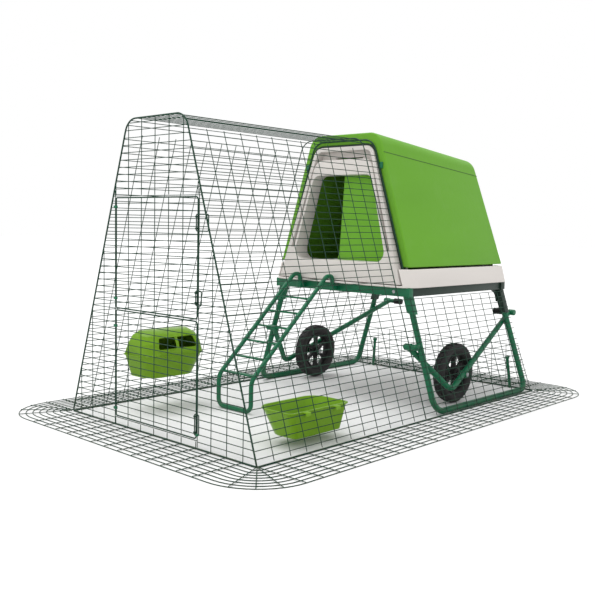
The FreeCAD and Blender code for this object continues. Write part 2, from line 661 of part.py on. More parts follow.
# ---------------------------------------------------------------- wheels and their lifting arms
def arm_parts():
    pivot_y, pivot_z = ARM_PIVOT
    pin_r = PIVOT_PIN / 2
    inner, outer = leg_x(pivot_z) - 15, leg_x(pivot_z) + 7
    saddle = block((inner, outer), (pivot_y, STAND_FRONT_Y), (pivot_z - 12, pivot_z + 12))
    pin = rod((ARM_HUB_X[0] - 8, pivot_y, pivot_z), (inner, pivot_y, pivot_z), pin_r)
    boss = rod((inner, pivot_y, pivot_z), (outer, pivot_y, pivot_z), 12)
    head = rod((outer, pivot_y, pivot_z), (outer + 4, pivot_y, pivot_z), 9)
    bracket = fused(saddle, pin, boss, head).cut(stand_tube())
    save("arm_bracket_right", bracket)
    save("arm_bracket_left", mirror(bracket))

    r = ARM_TUBE / 2
    start = (ARM_START_X, pivot_y, pivot_z)
    bar = tube([start, ARM_ELBOW, ARM_END], [ARM_BEND], r)
    hub = rod((ARM_HUB_X[0], pivot_y, pivot_z), (ARM_HUB_X[1], pivot_y, pivot_z), r + 2)
    share = (WHEEL_Y - ARM_ELBOW[1]) / (ARM_END[1] - ARM_ELBOW[1])
    arm_x = ARM_ELBOW[0] + share * (ARM_END[0] - ARM_ELBOW[0])
    boss_out = arm_x + r + 3
    axle_boss = rod((arm_x - r - 4, WHEEL_Y, WHEEL_Z), (boss_out, WHEEL_Y, WHEEL_Z), 15)
    cross = rod((CROSS_IN, ARM_END[1], ARM_END[2]), (ARM_END[0], ARM_END[1], ARM_END[2]), r - 1)
    knob = rod((ARM_END[0], ARM_END[1], ARM_END[2]), (ARM_END[0] + CROSS_OUT, ARM_END[1], ARM_END[2]), r + 2)
    arm = fused(bar, hub, axle_boss, cross, knob)
    pivot_bore = rod((ARM_HUB_X[0] - 20, pivot_y, pivot_z), (ARM_HUB_X[1] + 5, pivot_y, pivot_z),
                     pin_r + RUN_FIT)
    arm = arm.cut(pivot_bore)
    axle_in = WHEEL_X - WHEEL_WIDTH / 2 - 5
    axle = rod((axle_in, WHEEL_Y, WHEEL_Z), (boss_out, WHEEL_Y, WHEEL_Z), AXLE / 2)
    cap = rod((axle_in - 5, WHEEL_Y, WHEEL_Z), (axle_in, WHEEL_Y, WHEEL_Z), 11)
    nut = rod((boss_out, WHEEL_Y, WHEEL_Z), (boss_out + 5, WHEEL_Y, WHEEL_Z), 9)
    arm = arm.cut(axle)
    axle = fused(axle, cap, nut)
    grip = hollow_rod((CROSS_IN - 3, ARM_END[1], ARM_END[2]), (CROSS_IN + GRIP, ARM_END[1], ARM_END[2]),
                      r + 3, r - 1)
    for name, shape in (("wheel_arm", arm), ("axle", axle), ("arm_grip", grip)):
        save(f"{name}_right", shape)
        save(f"{name}_left", mirror(shape))


def wheels():
    half = WHEEL_WIDTH / 2
    x0, x1 = WHEEL_X - half, WHEEL_X + half
    axis_start = V(WHEEL_X, WHEEL_Y, WHEEL_Z)
    profile = [(x0 + 9, RIM_R), (x0, RIM_R + 14), (x0 + 2, WHEEL_R - 12), (x0 + 13, WHEEL_R),
               (x1 - 13, WHEEL_R), (x1 - 2, WHEEL_R - 12), (x1, RIM_R + 14), (x1 - 9, RIM_R)]
    ring = Part.makePolygon([V(x, WHEEL_Y, WHEEL_Z + r) for x, r in profile + profile[:1]])
    tyre = Part.Face(ring).revolve(axis_start, V(1, 0, 0), 360)
    rim_in, rim_out = x0 + 10, x1 - 10
    band = hollow_rod((rim_in, WHEEL_Y, WHEEL_Z), (rim_out, WHEEL_Y, WHEEL_Z), RIM_R, RIM_R - 9)
    web = hollow_rod((WHEEL_X - 6, WHEEL_Y, WHEEL_Z), (WHEEL_X + 6, WHEEL_Y, WHEEL_Z), RIM_R - 4, HUB_R - 5)
    hub = rod((x0, WHEEL_Y, WHEEL_Z), (x1, WHEEL_Y, WHEEL_Z), HUB_R)
    rim = fused(band, web, hub)
    window_r = (RIM_R - 9 - HUB_R) / 2 - 7
    middle = HUB_R + 5 + window_r + 2
    for i in range(SPOKES):
        angle = 2 * math.pi * (i + 0.5) / SPOKES
        y = WHEEL_Y + middle * math.cos(angle)
        z = WHEEL_Z + middle * math.sin(angle)
        rim = rim.cut(rod((x0, y, z), (x1, y, z), window_r))
    rim = rim.cut(rod((x0 - 1, WHEEL_Y, WHEEL_Z), (x1 + 1, WHEEL_Y, WHEEL_Z), AXLE / 2 + RUN_FIT))
    save("tyre_right", tyre)
    save("tyre_left", mirror(tyre))
    save("wheel_rim_right", rim)
    save("wheel_rim_left", mirror(rim))


# ---------------------------------------------------------------- house shells
def cover_x(z, inset=0.0):
    return COVER_HALF - inset * math.hypot(1, COVER_LEAN) - COVER_LEAN * z


def crown_z(y, inset=0.0):
    return COVER_CROWN - CROWN_FALL * (y - COVER_FRONT_Y) - inset


def cover_rear(z):
    return COVER_REAR_Y - COVER_REAR_LEAN * (z - COVER_BOTTOM)


def cover_form(inset, crown_inset, bend, low, y_front, back_inset=0.0):
    """The house's outer form, or the same form inset: leaning sides, falling crown, leaning back."""
    high = COVER_CROWN + 40
    across = prism([(-cover_x(low, inset), y_front, low), (cover_x(low, inset), y_front, low),
                    (cover_x(high, inset), y_front, high), (-cover_x(high, inset), y_front, high)],
                   [0] * 4, (0, COVER_REAR_Y - y_front + 60, 0))
    x = COVER_HALF + 50
    top_rear = cover_rear(crown_z(COVER_REAR_Y)) - back_inset
    along = prism([(-x, y_front, low), (-x, cover_rear(low) - back_inset, low),
                   (-x, top_rear, crown_z(top_rear, crown_inset)),
                   (-x, y_front, crown_z(y_front, crown_inset))],
                  [0] * 4, (2 * x, 0, 0))
    form = across.common(along)
    ridges = [e for e in form.Edges if e.CenterOfMass.z > COVER_CROWN - 120
              and abs(e.tangentAt(e.FirstParameter).y) > 0.9]
    return form.makeFillet(bend, ridges)


def cover():
    outer = cover_form(0, 0, COVER_SHOULDER, COVER_BOTTOM, COVER_FRONT_Y)
    inner = cover_form(COVER_WALL, CROWN_WALL, COVER_INNER_BEND, COVER_BOTTOM - 5, COVER_FRONT_Y - 5, -30.0)
    shell = outer.cut(inner)
    save("cover", shell)


def panel_outline(inset, low, y, thickness, crown=COVER_CROWN):
    """Outline of a house end panel; inset 0 touches the inside of the cover under that crown."""
    side = COVER_WALL + inset
    top = crown - CROWN_WALL - inset
    bend = max(COVER_INNER_BEND - inset, 4.0)
    points = [(-cover_x(low, side), y, low), (cover_x(low, side), y, low),
              (cover_x(top, side), y, top), (-cover_x(top, side), y, top)]
    return prism(points, [0, 0, bend, bend], (0, thickness, 0))


def panel_y(z):
    return PANEL_FRONT_Y + PANEL_LEAN * (z - PANEL_BOTTOM)


def before_panel(back):
    """Everything in front of the panel's leaning face moved back by back."""
    x = COVER_HALF
    low, high = 400.0, 1300.0
    outline = [(-x, 800, low), (-x, panel_y(low) + back, low), (-x, panel_y(high) + back, high),
               (-x, 800, high)]
    return prism(outline, [0] * 4, (2 * x, 0, 0))


def doorway_x(z, grow=0.0):
    return DOORWAY_HALF + grow - DOORWAY_LEAN * (z - DOORWAY_REF)


def doorway(grow, y, thickness, top=None):
    low, high = DOORWAY_Z[0] - grow, (top if top else DOORWAY_Z[1] + grow)
    points = [(-doorway_x(low, grow), y, low), (doorway_x(low, grow), y, low),
              (doorway_x(high, grow), y, high), (-doorway_x(high, grow), y, high)]
    bend = DOORWAY_BEND + grow
    return prism(points, [bend] * 4, (0, thickness, 0))


def front_panel():
    """Moulded end panel: a rim, a sunk channel and a raised surround round the doorway."""
    y0, y1 = PANEL_FRONT_Y - 20, PANEL_BACK_Y
    body = panel_outline(SEAL, PANEL_BOTTOM, y0, y1 - y0).cut(before_panel(0))
    channel = panel_outline(SEAL + PANEL_RIM, CHANNEL_LOW, y0, y1 - y0).cut(
        doorway(SURROUND, y0 - 1, y1 - y0 + 2, SURROUND_TOP))
    floor_cut = before_panel(RECESS_DEPTH)
    body = body.cut(channel.common(floor_cut))
    body = body.cut(doorway(0, y0 - 1, y1 - y0 + 2))
    slot = block((-VENT / 2, VENT / 2), (y0, y1 + 5), (SURROUND_TOP + 6, SURROUND_TOP + 11))
    save("front_panel", body.cut(slot))
    seal = panel_outline(0, PANEL_BOTTOM, y0, COVER_FRONT_Y + 22 - y0)
    seal = seal.cut(panel_outline(SEAL, PANEL_BOTTOM - 1, y0 - 1, 200))
    inside = cover_form(COVER_WALL, CROWN_WALL, COVER_INNER_BEND, PANEL_BOTTOM, y0)
    save("front_seal", seal.cut(before_panel(3.0)).common(inside))


def door_leaves():
    """A fixed leaf over one half of the doorway and a sliding one behind it."""
    low_z, high_z = DOORWAY_Z
    far = DOORWAY_HALF + 20
    cover_part = [(LEAF_EDGE_X[0], LEAF_Y, low_z), (far, LEAF_Y, low_z), (far, LEAF_Y, high_z),
                  (LEAF_EDGE_X[1], LEAF_Y, high_z)]
    fixed = doorway(0, LEAF_Y, LEAF).common(prism(cover_part, [8, 0, 0, 8], (0, LEAF, 0)))
    save("fixed_leaf", fixed)
    grow = LEAF_OVERLAP
    low, high = DOORWAY_Z[0] - grow, DOORWAY_Z[1] + grow
    y = PANEL_BACK_Y + 0.5
    right = [x + grow + LEAF_TRAVEL for x in LEAF_EDGE_X]
    points = [(-doorway_x(low, grow) + LEAF_TRAVEL, y, low), (right[0], y, low),
              (right[1], y, high), (-doorway_x(high, grow) + LEAF_TRAVEL, y, high)]
    leaf = prism(points, [10, 10, 10, 30], (0, LEAF, 0))
    save("sliding_leaf", leaf)
    guides = []
    for z, sign in ((low, -1), (high, 1)):
        x_low = -doorway_x(z, grow) - 3
        edge = z + sign * 0.5
        spine = block((x_low, max(right)), (PANEL_BACK_Y, y + LEAF + 4), sorted((edge, edge + sign * 6)))
        lip = block((x_low, max(right)), (y + LEAF + 0.5, y + LEAF + 4), sorted((edge - sign * 7, edge)))
        guides.append(fused(spine, lip))
    save("door_guides", *guides)


def tub_x(z):
    return TUB_BASE_HALF - TUB_LEAN * (z - TUB_Z[0])


def tub_layer(z, inset, corner):
    x = tub_x(z) - inset
    low, high = TUB_FRONT_Y + inset, TUB_REAR_Y - inset
    points = [(-x, low, z), (x, low, z), (x, high, z), (-x, high, z)]
    return rounded(points, [corner, corner, corner * 0.4, corner * 0.4])


def tub_inside():
    low = TUB_Z[0] + TUB_FLOOR
    layers = [tub_layer(z, TUB_WALL, TUB_CORNER - TUB_WALL) for z in (low, TUB_Z[1])]
    return Part.makeLoft(layers, True, True)


def tub():
    outer = Part.makeLoft([tub_layer(z, 0, TUB_CORNER) for z in TUB_Z], True, True)
    sill = TUB_Z[0] + TUB_FLOOR
    notch = panel_outline(0, sill, TUB_FRONT_Y - 5, TUB_CORNER)
    rear_notch = panel_outline(0, sill, TUB_REAR_Y - TUB_CORNER, TUB_CORNER + 5)
    save("base_tub", outer.cut(tub_inside()).cut(notch).cut(rear_notch))


def rear_slab(front, back):
    """The space between two planes parallel to the cover's leaning back edge."""
    low, high = 400.0, 1300.0
    x = COVER_HALF
    points = [(-x, cover_rear(low) - front, low), (-x, cover_rear(low) - back, low),
              (-x, cover_rear(high) - back, high), (-x, cover_rear(high) - front, high)]
    limit = block((-x, x), (0, TUB_REAR_Y - 2), (low, high))
    return prism(points, [0] * 4, (2 * x, 0, 0)).common(limit)


def rear_panel():
    """The back wall; level-topped, so that it pulls straight out with its seal and the tray."""
    crown = crown_z(cover_rear(COVER_CROWN - CROWN_WALL))
    y0, reach = TUB_REAR_Y - 150, 200
    panel = panel_outline(SEAL, PANEL_BOTTOM, y0, reach, crown)
    panel = panel.common(rear_slab(REAR_PANEL_BACK, REAR_PANEL_FRONT))
    face_y = cover_rear(HANDLE_Z) - REAR_PANEL_FRONT
    pad = rod((0, face_y - 10, HANDLE_Z), (0, face_y + 4, HANDLE_Z), 28)
    save("rear_panel", fused(panel, pad))
    seal = panel_outline(0.6, PANEL_BOTTOM, y0, reach, crown)
    seal = seal.cut(panel_outline(SEAL, PANEL_BOTTOM - 1, y0 - 1, reach + 2, crown))
    save("rear_seal", seal.common(rear_slab(REAR_PANEL_BACK - 4, REAR_PANEL_FRONT + 6)))
    start = face_y + 4.5
    knob = rod((0, start, HANDLE_Z), (0, start + 14, HANDLE_Z), 24)
    bar = block((-9, 9), (start + 12, start + 28), (HANDLE_Z - 58, HANDLE_Z + 58))
    save("rear_handle", fused(knob, bar))


def house_inside():
    """Droppings tray, roosting bars and nest divider."""
    z = TUB_Z[0] + TUB_FLOOR + GAP
    half = cover_x(z + TRAY_RIM, COVER_WALL) - 3
    rear = cover_rear(z) - REAR_PANEL_BACK - 20
    tray = block((-half, half), (TRAY_IN_Y, rear), (z, z + TRAY_RIM))
    tray = tray.cut(block((-half + 3, half - 3), (TRAY_IN_Y + 3, rear - 3), (z + 3, z + TRAY_RIM)))
    tongues = [block((x - 10, x + 10), (rear - 3, rear + 40), (z + 4, z + TRAY_RIM - 6))
               for x in (-150, 150)]
    panel_back = rear_slab(REAR_PANEL_BACK, 0)
    save("droppings_tray", fused(tray, *tongues).cut(panel_back))
    bars = []
    inside = tub_inside()
    for i in range(ROOSTS):
        y = TRAY_IN_Y + 30 + i * ROOST_PITCH
        bars.append(block((-400, 400), (y, y + 34), (ROOST_Z, ROOST_Z + 24)).common(inside))
    save("roosting_bars", *bars)
    y = TRAY_IN_Y + 30 + ROOSTS * ROOST_PITCH
    low = COVER_BOTTOM + 6
    shape = cover_form(COVER_WALL, CROWN_WALL, COVER_INNER_BEND, low, COVER_FRONT_Y)
    wall = shape.common(block((-500, 500), (y, y + 6), (low, 860)))
    entry = [(-90, y, low + 60), (90, y, low + 60), (90, y, 900), (-90, y, 900)]
    wall = wall.cut(prism(entry, [30, 30, 0, 0], (0, 6, 0)))
    save("nest_divider", wall)


def cover_clips():
    """Clips that hold the front panel's seal to the cover."""
    low, high = CLIP_Z
    x = cover_x(low, COVER_WALL) + 0.5
    clip = block((x, x + 15), (COVER_FRONT_Y - 6, COVER_FRONT_Y), (low, high))
    save("cover_clips", clip, mirror(clip))


# ---------------------------------------------------------------- ladder
def ladder():
    r = LADDER_TUBE / 2
    top = LADDER_TOP_Z - r
    bend_y = LADDER_FOOT_Y + (top - LADDER_KNEE_Z) / LADDER_SLOPE
    left, right = LADDER_X - LADDER_WIDTH / 2, LADDER_X + LADDER_WIDTH / 2
    half = [(left, LADDER_LEG_Y, top - 26), (left, LADDER_LEG_Y, top), (left, bend_y, top),
            (left, LADDER_FOOT_Y, LADDER_KNEE_Z), (left, LADDER_FOOT_Y, r)]
    other = [(right, y, z) for _, y, z in reversed(half)]
    bends = [HOOK_BEND, LADDER_TOP_BEND, 60.0, FOOT_BEND]
    rails = tube(half + other, bends + bends[::-1], r)
    legs = []
    half_x, half_y = HOOK_BAR[0] / 2, HOOK_BAR[1] / 2
    for x in (left, right):
        legs.append(block((x - half_x, x + half_x), (LADDER_LEG_Y - half_y, LADDER_LEG_Y + half_y),
                          (SOCKET_Z[0] - 2, top - 22)))
    save("ladder_rails", fused(rails, *legs))
    rungs = []
    for i in range(RUNGS):
        z = RUNG_Z[0] + (RUNG_Z[1] - RUNG_Z[0]) * i / (RUNGS - 1)
        y = LADDER_FOOT_Y + (z - LADDER_KNEE_Z) / LADDER_SLOPE
        rung = block((left, right), (y - 9, y + 9), (z - 3, z + 3))
        rungs.append(rung.cut(rails))
    save("ladder_rungs", *rungs)
    sockets = []
    for x in (left, right):
        half_x, half_y = HOOK_BAR[0] / 2 + SOCKET_GAP, HOOK_BAR[1] / 2 + SOCKET_GAP
        outer = block((x - half_x - 3, x + half_x + 3), (LADDER_LEG_Y - half_y - 3, BEAM_Y[0]), SOCKET_Z)
        slot = block((x - half_x, x + half_x), (LADDER_LEG_Y - half_y, LADDER_LEG_Y + half_y), (0, 600))
        sockets.append(outer.cut(slot))
    save("ladder_sockets", *sockets)


# ---------------------------------------------------------------- feeders
def vessel(x, y, z):
    """An open moulded bowl: x and y at the rim, narrower at the foot."""
    def layer(height, grow):
        narrow = TRAY_FLARE * (1 - (height - z[0]) / (z[1] - z[0]))
        x0, x1 = x[0] + narrow - grow, x[1] - narrow * 0.12 + grow
        y0, y1 = y[0] + narrow - grow, y[1] - narrow + grow
        soft = TRAY_CORNER + grow
        return rounded([(x0, y0, height), (x1, y0, height), (x1, y1, height), (x0, y1, height)],
                       [soft, soft * 0.35, soft * 0.35, soft])
    outer = Part.makeLoft([layer(z[0], 0), layer(z[1], 0)], True, True)
    lip = Part.Face(layer(z[1] - LIP, LIP)).extrude(V(0, 0, LIP))
    inner = Part.makeLoft([layer(z[0] + TRAY_WALL, -TRAY_WALL), layer(z[1] + 1, -TRAY_WALL)], True, True)
    return fused(outer, lip).cut(inner)


def hook(x_wall, y, wire_top):
    """A hook that reaches from a vessel's rim over a mesh wire and down outside it."""
    low = wire_top + HOOK_REST
    x_out = side_x(low - HOOK_LEG, -WIRE) + HOOK_REST + HOOK_WALL
    arm = block((x_wall - TRAY_WALL, x_out), (y - HOOK_HALF, y + HOOK_HALF), (low, low + LIP))
    leg = block((x_out - HOOK_WALL, x_out), (y - HOOK_HALF, y + HOOK_HALF), (low - HOOK_LEG, low + LIP))
    return fused(arm, leg)


def hung_vessel(y_mid, row):
    """A vessel on the right-hand mesh, with two hooks over one of its long wires."""
    wire_top = row * ROW * SIDE_COS + WIRE / 2
    rim_z = wire_top + HOOK_REST + LIP
    wall_x = side_x(rim_z) - VESSEL_SETBACK
    x = (wall_x - TRAY_DEPTH, wall_x)
    y = (y_mid - TRAY_LENGTH / 2, y_mid + TRAY_LENGTH / 2)
    body = vessel(x, y, (rim_z - TRAY_HEIGHT, rim_z))
    hooks = []
    for offset in (-BAY, BAY):
        middle = (math.floor((y_mid + offset) / BAY) + 0.5) * BAY
        hooks.append(hook(wall_x, middle, wire_top))
    return fused(body, *hooks), x, y, rim_z


def feeders():
    tray, _, _, _ = hung_vessel(TRAY_Y, TRAY_ROW)
    save("feed_tray", tray)
    bowl, x, y, rim_z = hung_vessel(BOWL_Y, BOWL_ROW)
    save("feeder_bowl", mirror(bowl))
    save("feeder_hood", mirror(hood(x, y, rim_z + HOOK_REST)))


def hood(x, y, z):
    """A thin domed cover with two feeding windows on its open side."""
    def layer(rise, front, back, ends, grow):
        x0, x1 = x[0] + front - grow, x[1] - back + grow
        y0, y1 = y[0] + ends - grow, y[1] - ends + grow
        soft = TRAY_CORNER + grow
        return rounded([(x0, y0, z + rise), (x1, y0, z + rise), (x1, y1, z + rise), (x0, y1, z + rise)],
                       [soft, soft * 0.35, soft * 0.35, soft])
    steps = [(HOOD_HEIGHT * up, front, 2 + LEAN * HOOD_HEIGHT * up + extra, ends)
             for up, front, extra, ends in HOOD_STEPS]
    outer = Part.makeLoft([layer(*s, 0) for s in steps], True, True)
    lowered = [(-1, *steps[0][1:])]
    lowered += [(rise - TRAY_WALL, front, back, ends) for rise, front, back, ends in steps[1:]]
    shell = outer.cut(Part.makeLoft([layer(*s, -TRAY_WALL) for s in lowered], True, True))
    middle = sum(y) / 2
    for side in (-1, 1):
        near, far = middle + side * MULLION / 2, middle + side * (MULLION / 2 + WINDOW[0])
        low, high = z + WINDOW[1], z + WINDOW[1] + WINDOW[2]
        x0 = x[0] - 20
        points = [(x0, near, low), (x0, far, low), (x0, far - side * 14, high), (x0, near, high)]
        shell = shell.cut(prism(points, [3, 10, 10, 3], (75, 0, 0)))
    return shell


def rear_pins():
    """Pins with knobs that hold the low rear mesh to the ground."""
    low, high = PIN_SPAN
    pins = []
    for side in (-1, 1):
        foot = (side * PIN_X, rear_y(low) - WIRE - PIN_R - 0.6, low)
        head = (side * (PIN_X - LEAN * PIN_LEAN * high), rear_y(high) - WIRE - PIN_R - 0.6, high)
        tip = V(*head) + (V(*head) - V(*foot)).normalize() * 12
        pins.append(fused(rod(foot, head, PIN_R), rod(head, tuple(tip), PIN_R + 3.5)))
    save("rear_pins", *pins)


def main():
    os.makedirs("parts", exist_ok=True)
    arches()
    run_sides()
    run_roof()
    front_mesh()
    door("run_door_lower", LOWER_DOOR_Z, DOOR_CORNER)
    door("run_door_upper", UPPER_DOOR_Z, DOOR_BAR)
    hinge_clips()
    latches()
    base_ring()
    skirt()
    under_house_sides()
    rear_panel_mesh()
    rear_pins()
    save("stand_loop_right", stand_tube())
    save("stand_loop_left", mirror(stand_tube()))
    upper_frame()
    arm_parts()
    wheels()
    cover()
    cover_clips()
    front_panel()
    door_leaves()
    tub()
    rear_panel()
    house_inside()
    ladder()
    feeders()


main()
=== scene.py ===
"""Chicken coop: a plastic house on a wheeled tube stand, with a welded-mesh run and skirt."""

import json
import math

import bmesh
import bpy
import numpy as np
from bpy.props import FloatProperty, FloatVectorProperty, IntProperty, PointerProperty
from mathutils import Matrix, Vector


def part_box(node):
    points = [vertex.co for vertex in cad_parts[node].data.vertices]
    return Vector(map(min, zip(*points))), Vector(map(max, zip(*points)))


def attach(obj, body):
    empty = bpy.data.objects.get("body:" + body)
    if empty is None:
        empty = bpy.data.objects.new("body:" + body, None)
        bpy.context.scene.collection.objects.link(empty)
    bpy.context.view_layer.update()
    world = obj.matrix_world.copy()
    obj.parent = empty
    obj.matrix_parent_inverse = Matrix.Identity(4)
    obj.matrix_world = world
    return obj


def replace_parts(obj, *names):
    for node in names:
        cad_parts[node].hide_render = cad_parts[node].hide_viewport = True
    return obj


bl_info = {
    "name": "Chicken Coop",
    "version": (1, 0, 0),
    "blender": (4, 5, 0),
    "location": "View3D > Sidebar > Coop",
    "description": "Dresses the coop's frame with round wires, bent tubes, wheels and moulded parts",
    "category": "Object",
}

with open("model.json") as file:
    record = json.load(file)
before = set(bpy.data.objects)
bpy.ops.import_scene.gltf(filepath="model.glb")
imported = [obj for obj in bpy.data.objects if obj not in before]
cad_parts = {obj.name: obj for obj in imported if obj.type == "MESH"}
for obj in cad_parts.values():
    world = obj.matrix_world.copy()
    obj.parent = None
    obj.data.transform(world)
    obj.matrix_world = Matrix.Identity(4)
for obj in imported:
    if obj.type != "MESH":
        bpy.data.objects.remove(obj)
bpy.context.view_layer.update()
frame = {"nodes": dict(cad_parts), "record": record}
NODE_BODY = {n: body for body, names in frame["record"]["behaviour"]["bodies"].items() for n in names}
SIDES = (("right", 1), ("left", -1))
# the lower latch's knob: distance along its axis, radius
KNOB_PROFILE = ((-0.001, 0.0), (0.0, 0.0035), (0.002, 0.005), (0.005, 0.0052), (0.007, 0.004), (0.011, 0.003),
                (0.011, 0.0))
# foot of the run's last bay, above the stand
COLLAR_FOOT = 0.580
INNER_BAR = 0.7          # the bar between the run's two last bays is lighter than the rim wire
# how far a side leans in, per metre of height
LEAN = 0.3255
# half-width of the run's doors
DOOR_HALF = 0.2286
# the latches stand this far in front of the doors
LATCH_OFF = -0.007
# heights of the eyes that hold the latches
EYE_HALF = 0.003
EYE_THICKNESS = 0.0088
DOOR_EYES = {"run_door_upper": (0.730, 0.768, 0.488, 0.520), "run_door_lower": (0.058, 0.112)}
# the stand's tubes stand this far inside the mesh
STAND_INSET = 0.018
# how far a rear leg leans forward
REAR_LEG_LEAN = 0.034
# bends of a stand loop
FRONT_BEND = 0.060
REAR_BEND = 0.040
# half of the coop's length at the ground
HALF_LENGTH = 0.8915
# middle line of a lifting arm: its pivot, elbow and handle
ARM_START = (0.380, 0.976 - HALF_LENGTH, 0.267)
ARM_ELBOW = (0.476, 1.152 - HALF_LENGTH, 0.081)
ARM_END = (0.356, 1.830 - HALF_LENGTH, 0.352)
ARM_BEND = 0.045
# a rim's radius as a share of the tyre's
RIM_SHARE = 0.672
# height of the cover's crease at its front and back, along which a dark line is drawn as painted shade
CREASE_SHADE_Z = (1.055, 0.993)
# the camera that sees the coop as its picture does
CAMERA_PLACE = (2.2845, -2.6129, 0.7488)
CAMERA_AZIMUTH = 43.065
CAMERA_PITCH = 5.077
CAMERA_ROLL = 1.166
CAMERA_LENS = 49.557
# the pale floor
FLOOR_GREY = (0.70, 0.70, 0.70)
# panels of straight wires
MESH_PANELS = ("front_mesh", "run_side_right", "run_side_left", "run_roof", "house_side_mesh_right",
               "house_side_mesh_left", "rear_mesh")
# name, direction of the light, its spread in degrees, strength
SUNS = (("High", (0.28, 0.10, -1.0), 40.0, 2.1), ("Front", (-0.05, 1.0, -0.25), 60.0, 0.6))


# ---------------------------------------------------------------- sizes and colours
def length(name, description, default):
    return FloatProperty(name=name, description=description, default=default, unit="LENGTH", precision=4)


def colour(name, description, default):
    return FloatVectorProperty(name=name, description=description, default=default, subtype="COLOR",
                               size=3, min=0.0, max=1.0)


class CoopSizes(bpy.types.PropertyGroup):
    wire: length("Mesh wire", "Thickness of the coated mesh wire", 0.0029)
    rim: length("Rim wire", "Thickness of the heavy wire round every panel", 0.006)
    bay: length("Bay", "Pitch of the long-way wires", 0.0762)
    row: length("Row", "Pitch of the short-way wires", 0.0254)
    skirt_rows: IntProperty(name="Skirt rows", description="Rings of wire in the skirt", default=8, min=1)
    arch_bend: length("Arch bend", "Bend at an arch's shoulders", 0.062)
    door_bar: length("Door bar", "Thickness of a run door's frame", 0.005)
    latch_bar: length("Latch bar", "Thickness of a latch's bent wire", 0.004)
    stand_tube: length("Stand tube", "Thickness of the stand's tube", 0.025)
    arm_tube: length("Arm tube", "Thickness of the lifting arms' tube", 0.024)
    treads: IntProperty(name="Tread blocks", description="Blocks round a tyre", default=30, min=8)
    spokes: IntProperty(name="Spokes", description="Spokes of a wheel", default=6, min=3)
    edge: length("Edge", "Rounding along the edges of moulded and welded parts", 0.0025)


class CoopColours(bpy.types.PropertyGroup):
    wire: colour("Wire", "Coated mesh wire", (0.003, 0.036, 0.018))
    tube: colour("Tube", "Coated tubes", (0.003, 0.118, 0.050))
    # Painted shade: the beam colour is near-black because the side rails and back beam are darkened for the
    # shadow of the house over them; the lit front beam takes the tube green
    beam: colour("Beam", "Coated side rails and back beam", (0.006, 0.022, 0.013))
    cover: colour("Cover", "The house's plastic cover and leaves", (0.118, 0.322, 0.022))
    # Painted shade: the parts inside the house get a deeper green than the cover's lime, standing for the
    # shade inside the house
    inner: colour("Inner plastic darkened as painted shade", "Plastic inside the house", (0.060, 0.180, 0.045))
    panel: colour("Panel", "The house's end panels and tub", (0.620, 0.585, 0.555))
    feeder: colour("Feeder", "The tray, the bowl and its hood", (0.150, 0.310, 0.010))
    rubber: colour("Rubber", "Tyres, grips and seals", (0.010, 0.010, 0.010))
    steel: colour("Steel", "Bolts and axles", (0.42, 0.43, 0.44))


# ---------------------------------------------------------------- finishes
class Finish:
    """A material under construction, with its pattern on Object coordinates."""

    def __init__(self, name):
        self.material = bpy.data.materials.new(name)
        self.material.use_nodes = True
        self.tree = self.material.node_tree
        self.shader = next(n for n in self.tree.nodes if n.type == "BSDF_PRINCIPLED")
        self.coords = self.tree.nodes.new("ShaderNodeTexCoord").outputs["Object"]

    def node(self, kind, inputs=None, **values):
        made = self.tree.nodes.new(kind)
        for key, value in values.items():
            setattr(made, key, value)
        for key, value in (inputs or {}).items():
            if isinstance(value, bpy.types.NodeSocket):
                self.tree.links.new(value, made.inputs[key])
            else:
                made.inputs[key].default_value = value
        return made

    def noise(self, scale, detail=4.0, roughness=0.6, stretch=(1.0, 1.0, 1.0)):
        place = self.node("ShaderNodeMapping", {"Vector": self.coords, "Scale": stretch})
        made = self.node("ShaderNodeTexNoise", {"Vector": place.outputs[0], "Scale": scale, "Detail": detail,
                                                "Roughness": roughness})
        return made.outputs["Fac"]

    def band(self, value, low, high, to_low, to_high):
        made = self.node("ShaderNodeMapRange", {"Value": value, "From Min": low, "From Max": high,
                                                "To Min": to_low, "To Max": to_high})
        return made.outputs["Result"]

    def tint(self, value, dark, light):
        ramp = self.node("ShaderNodeValToRGB", {"Fac": value})
        ramp.color_ramp.elements[0].position = 0.3
        ramp.color_ramp.elements[1].position = 0.7
        ramp.color_ramp.elements[0].color = (*dark, 1.0)
        ramp.color_ramp.elements[1].color = (*light, 1.0)
        return ramp.outputs["Color"]

    def mix(self, share, first, second):
        made = self.node("ShaderNodeMix", data_type="RGBA")
        for key, value in ((0, share), (6, first), (7, second)):
            if isinstance(value, bpy.types.NodeSocket):
                self.tree.links.new(value, made.inputs[key])
            else:
                made.inputs[key].default_value = value
        return made.outputs[2]

    def set(self, **values):
        for key, value in values.items():
            socket = self.shader.inputs[key.replace("_", " ")]
            if isinstance(value, bpy.types.NodeSocket):
                self.tree.links.new(value, socket)
            else:
                socket.default_value = value

    def bump(self, height, strength, distance, under=None):
        inputs = {"Height": height, "Strength": strength, "Distance": distance}
        if under:
            inputs["Normal"] = under
        return self.node("ShaderNodeBump", inputs).outputs["Normal"]


def shade(rgb, by):
    return tuple(min(c * by, 1.0) for c in rgb)


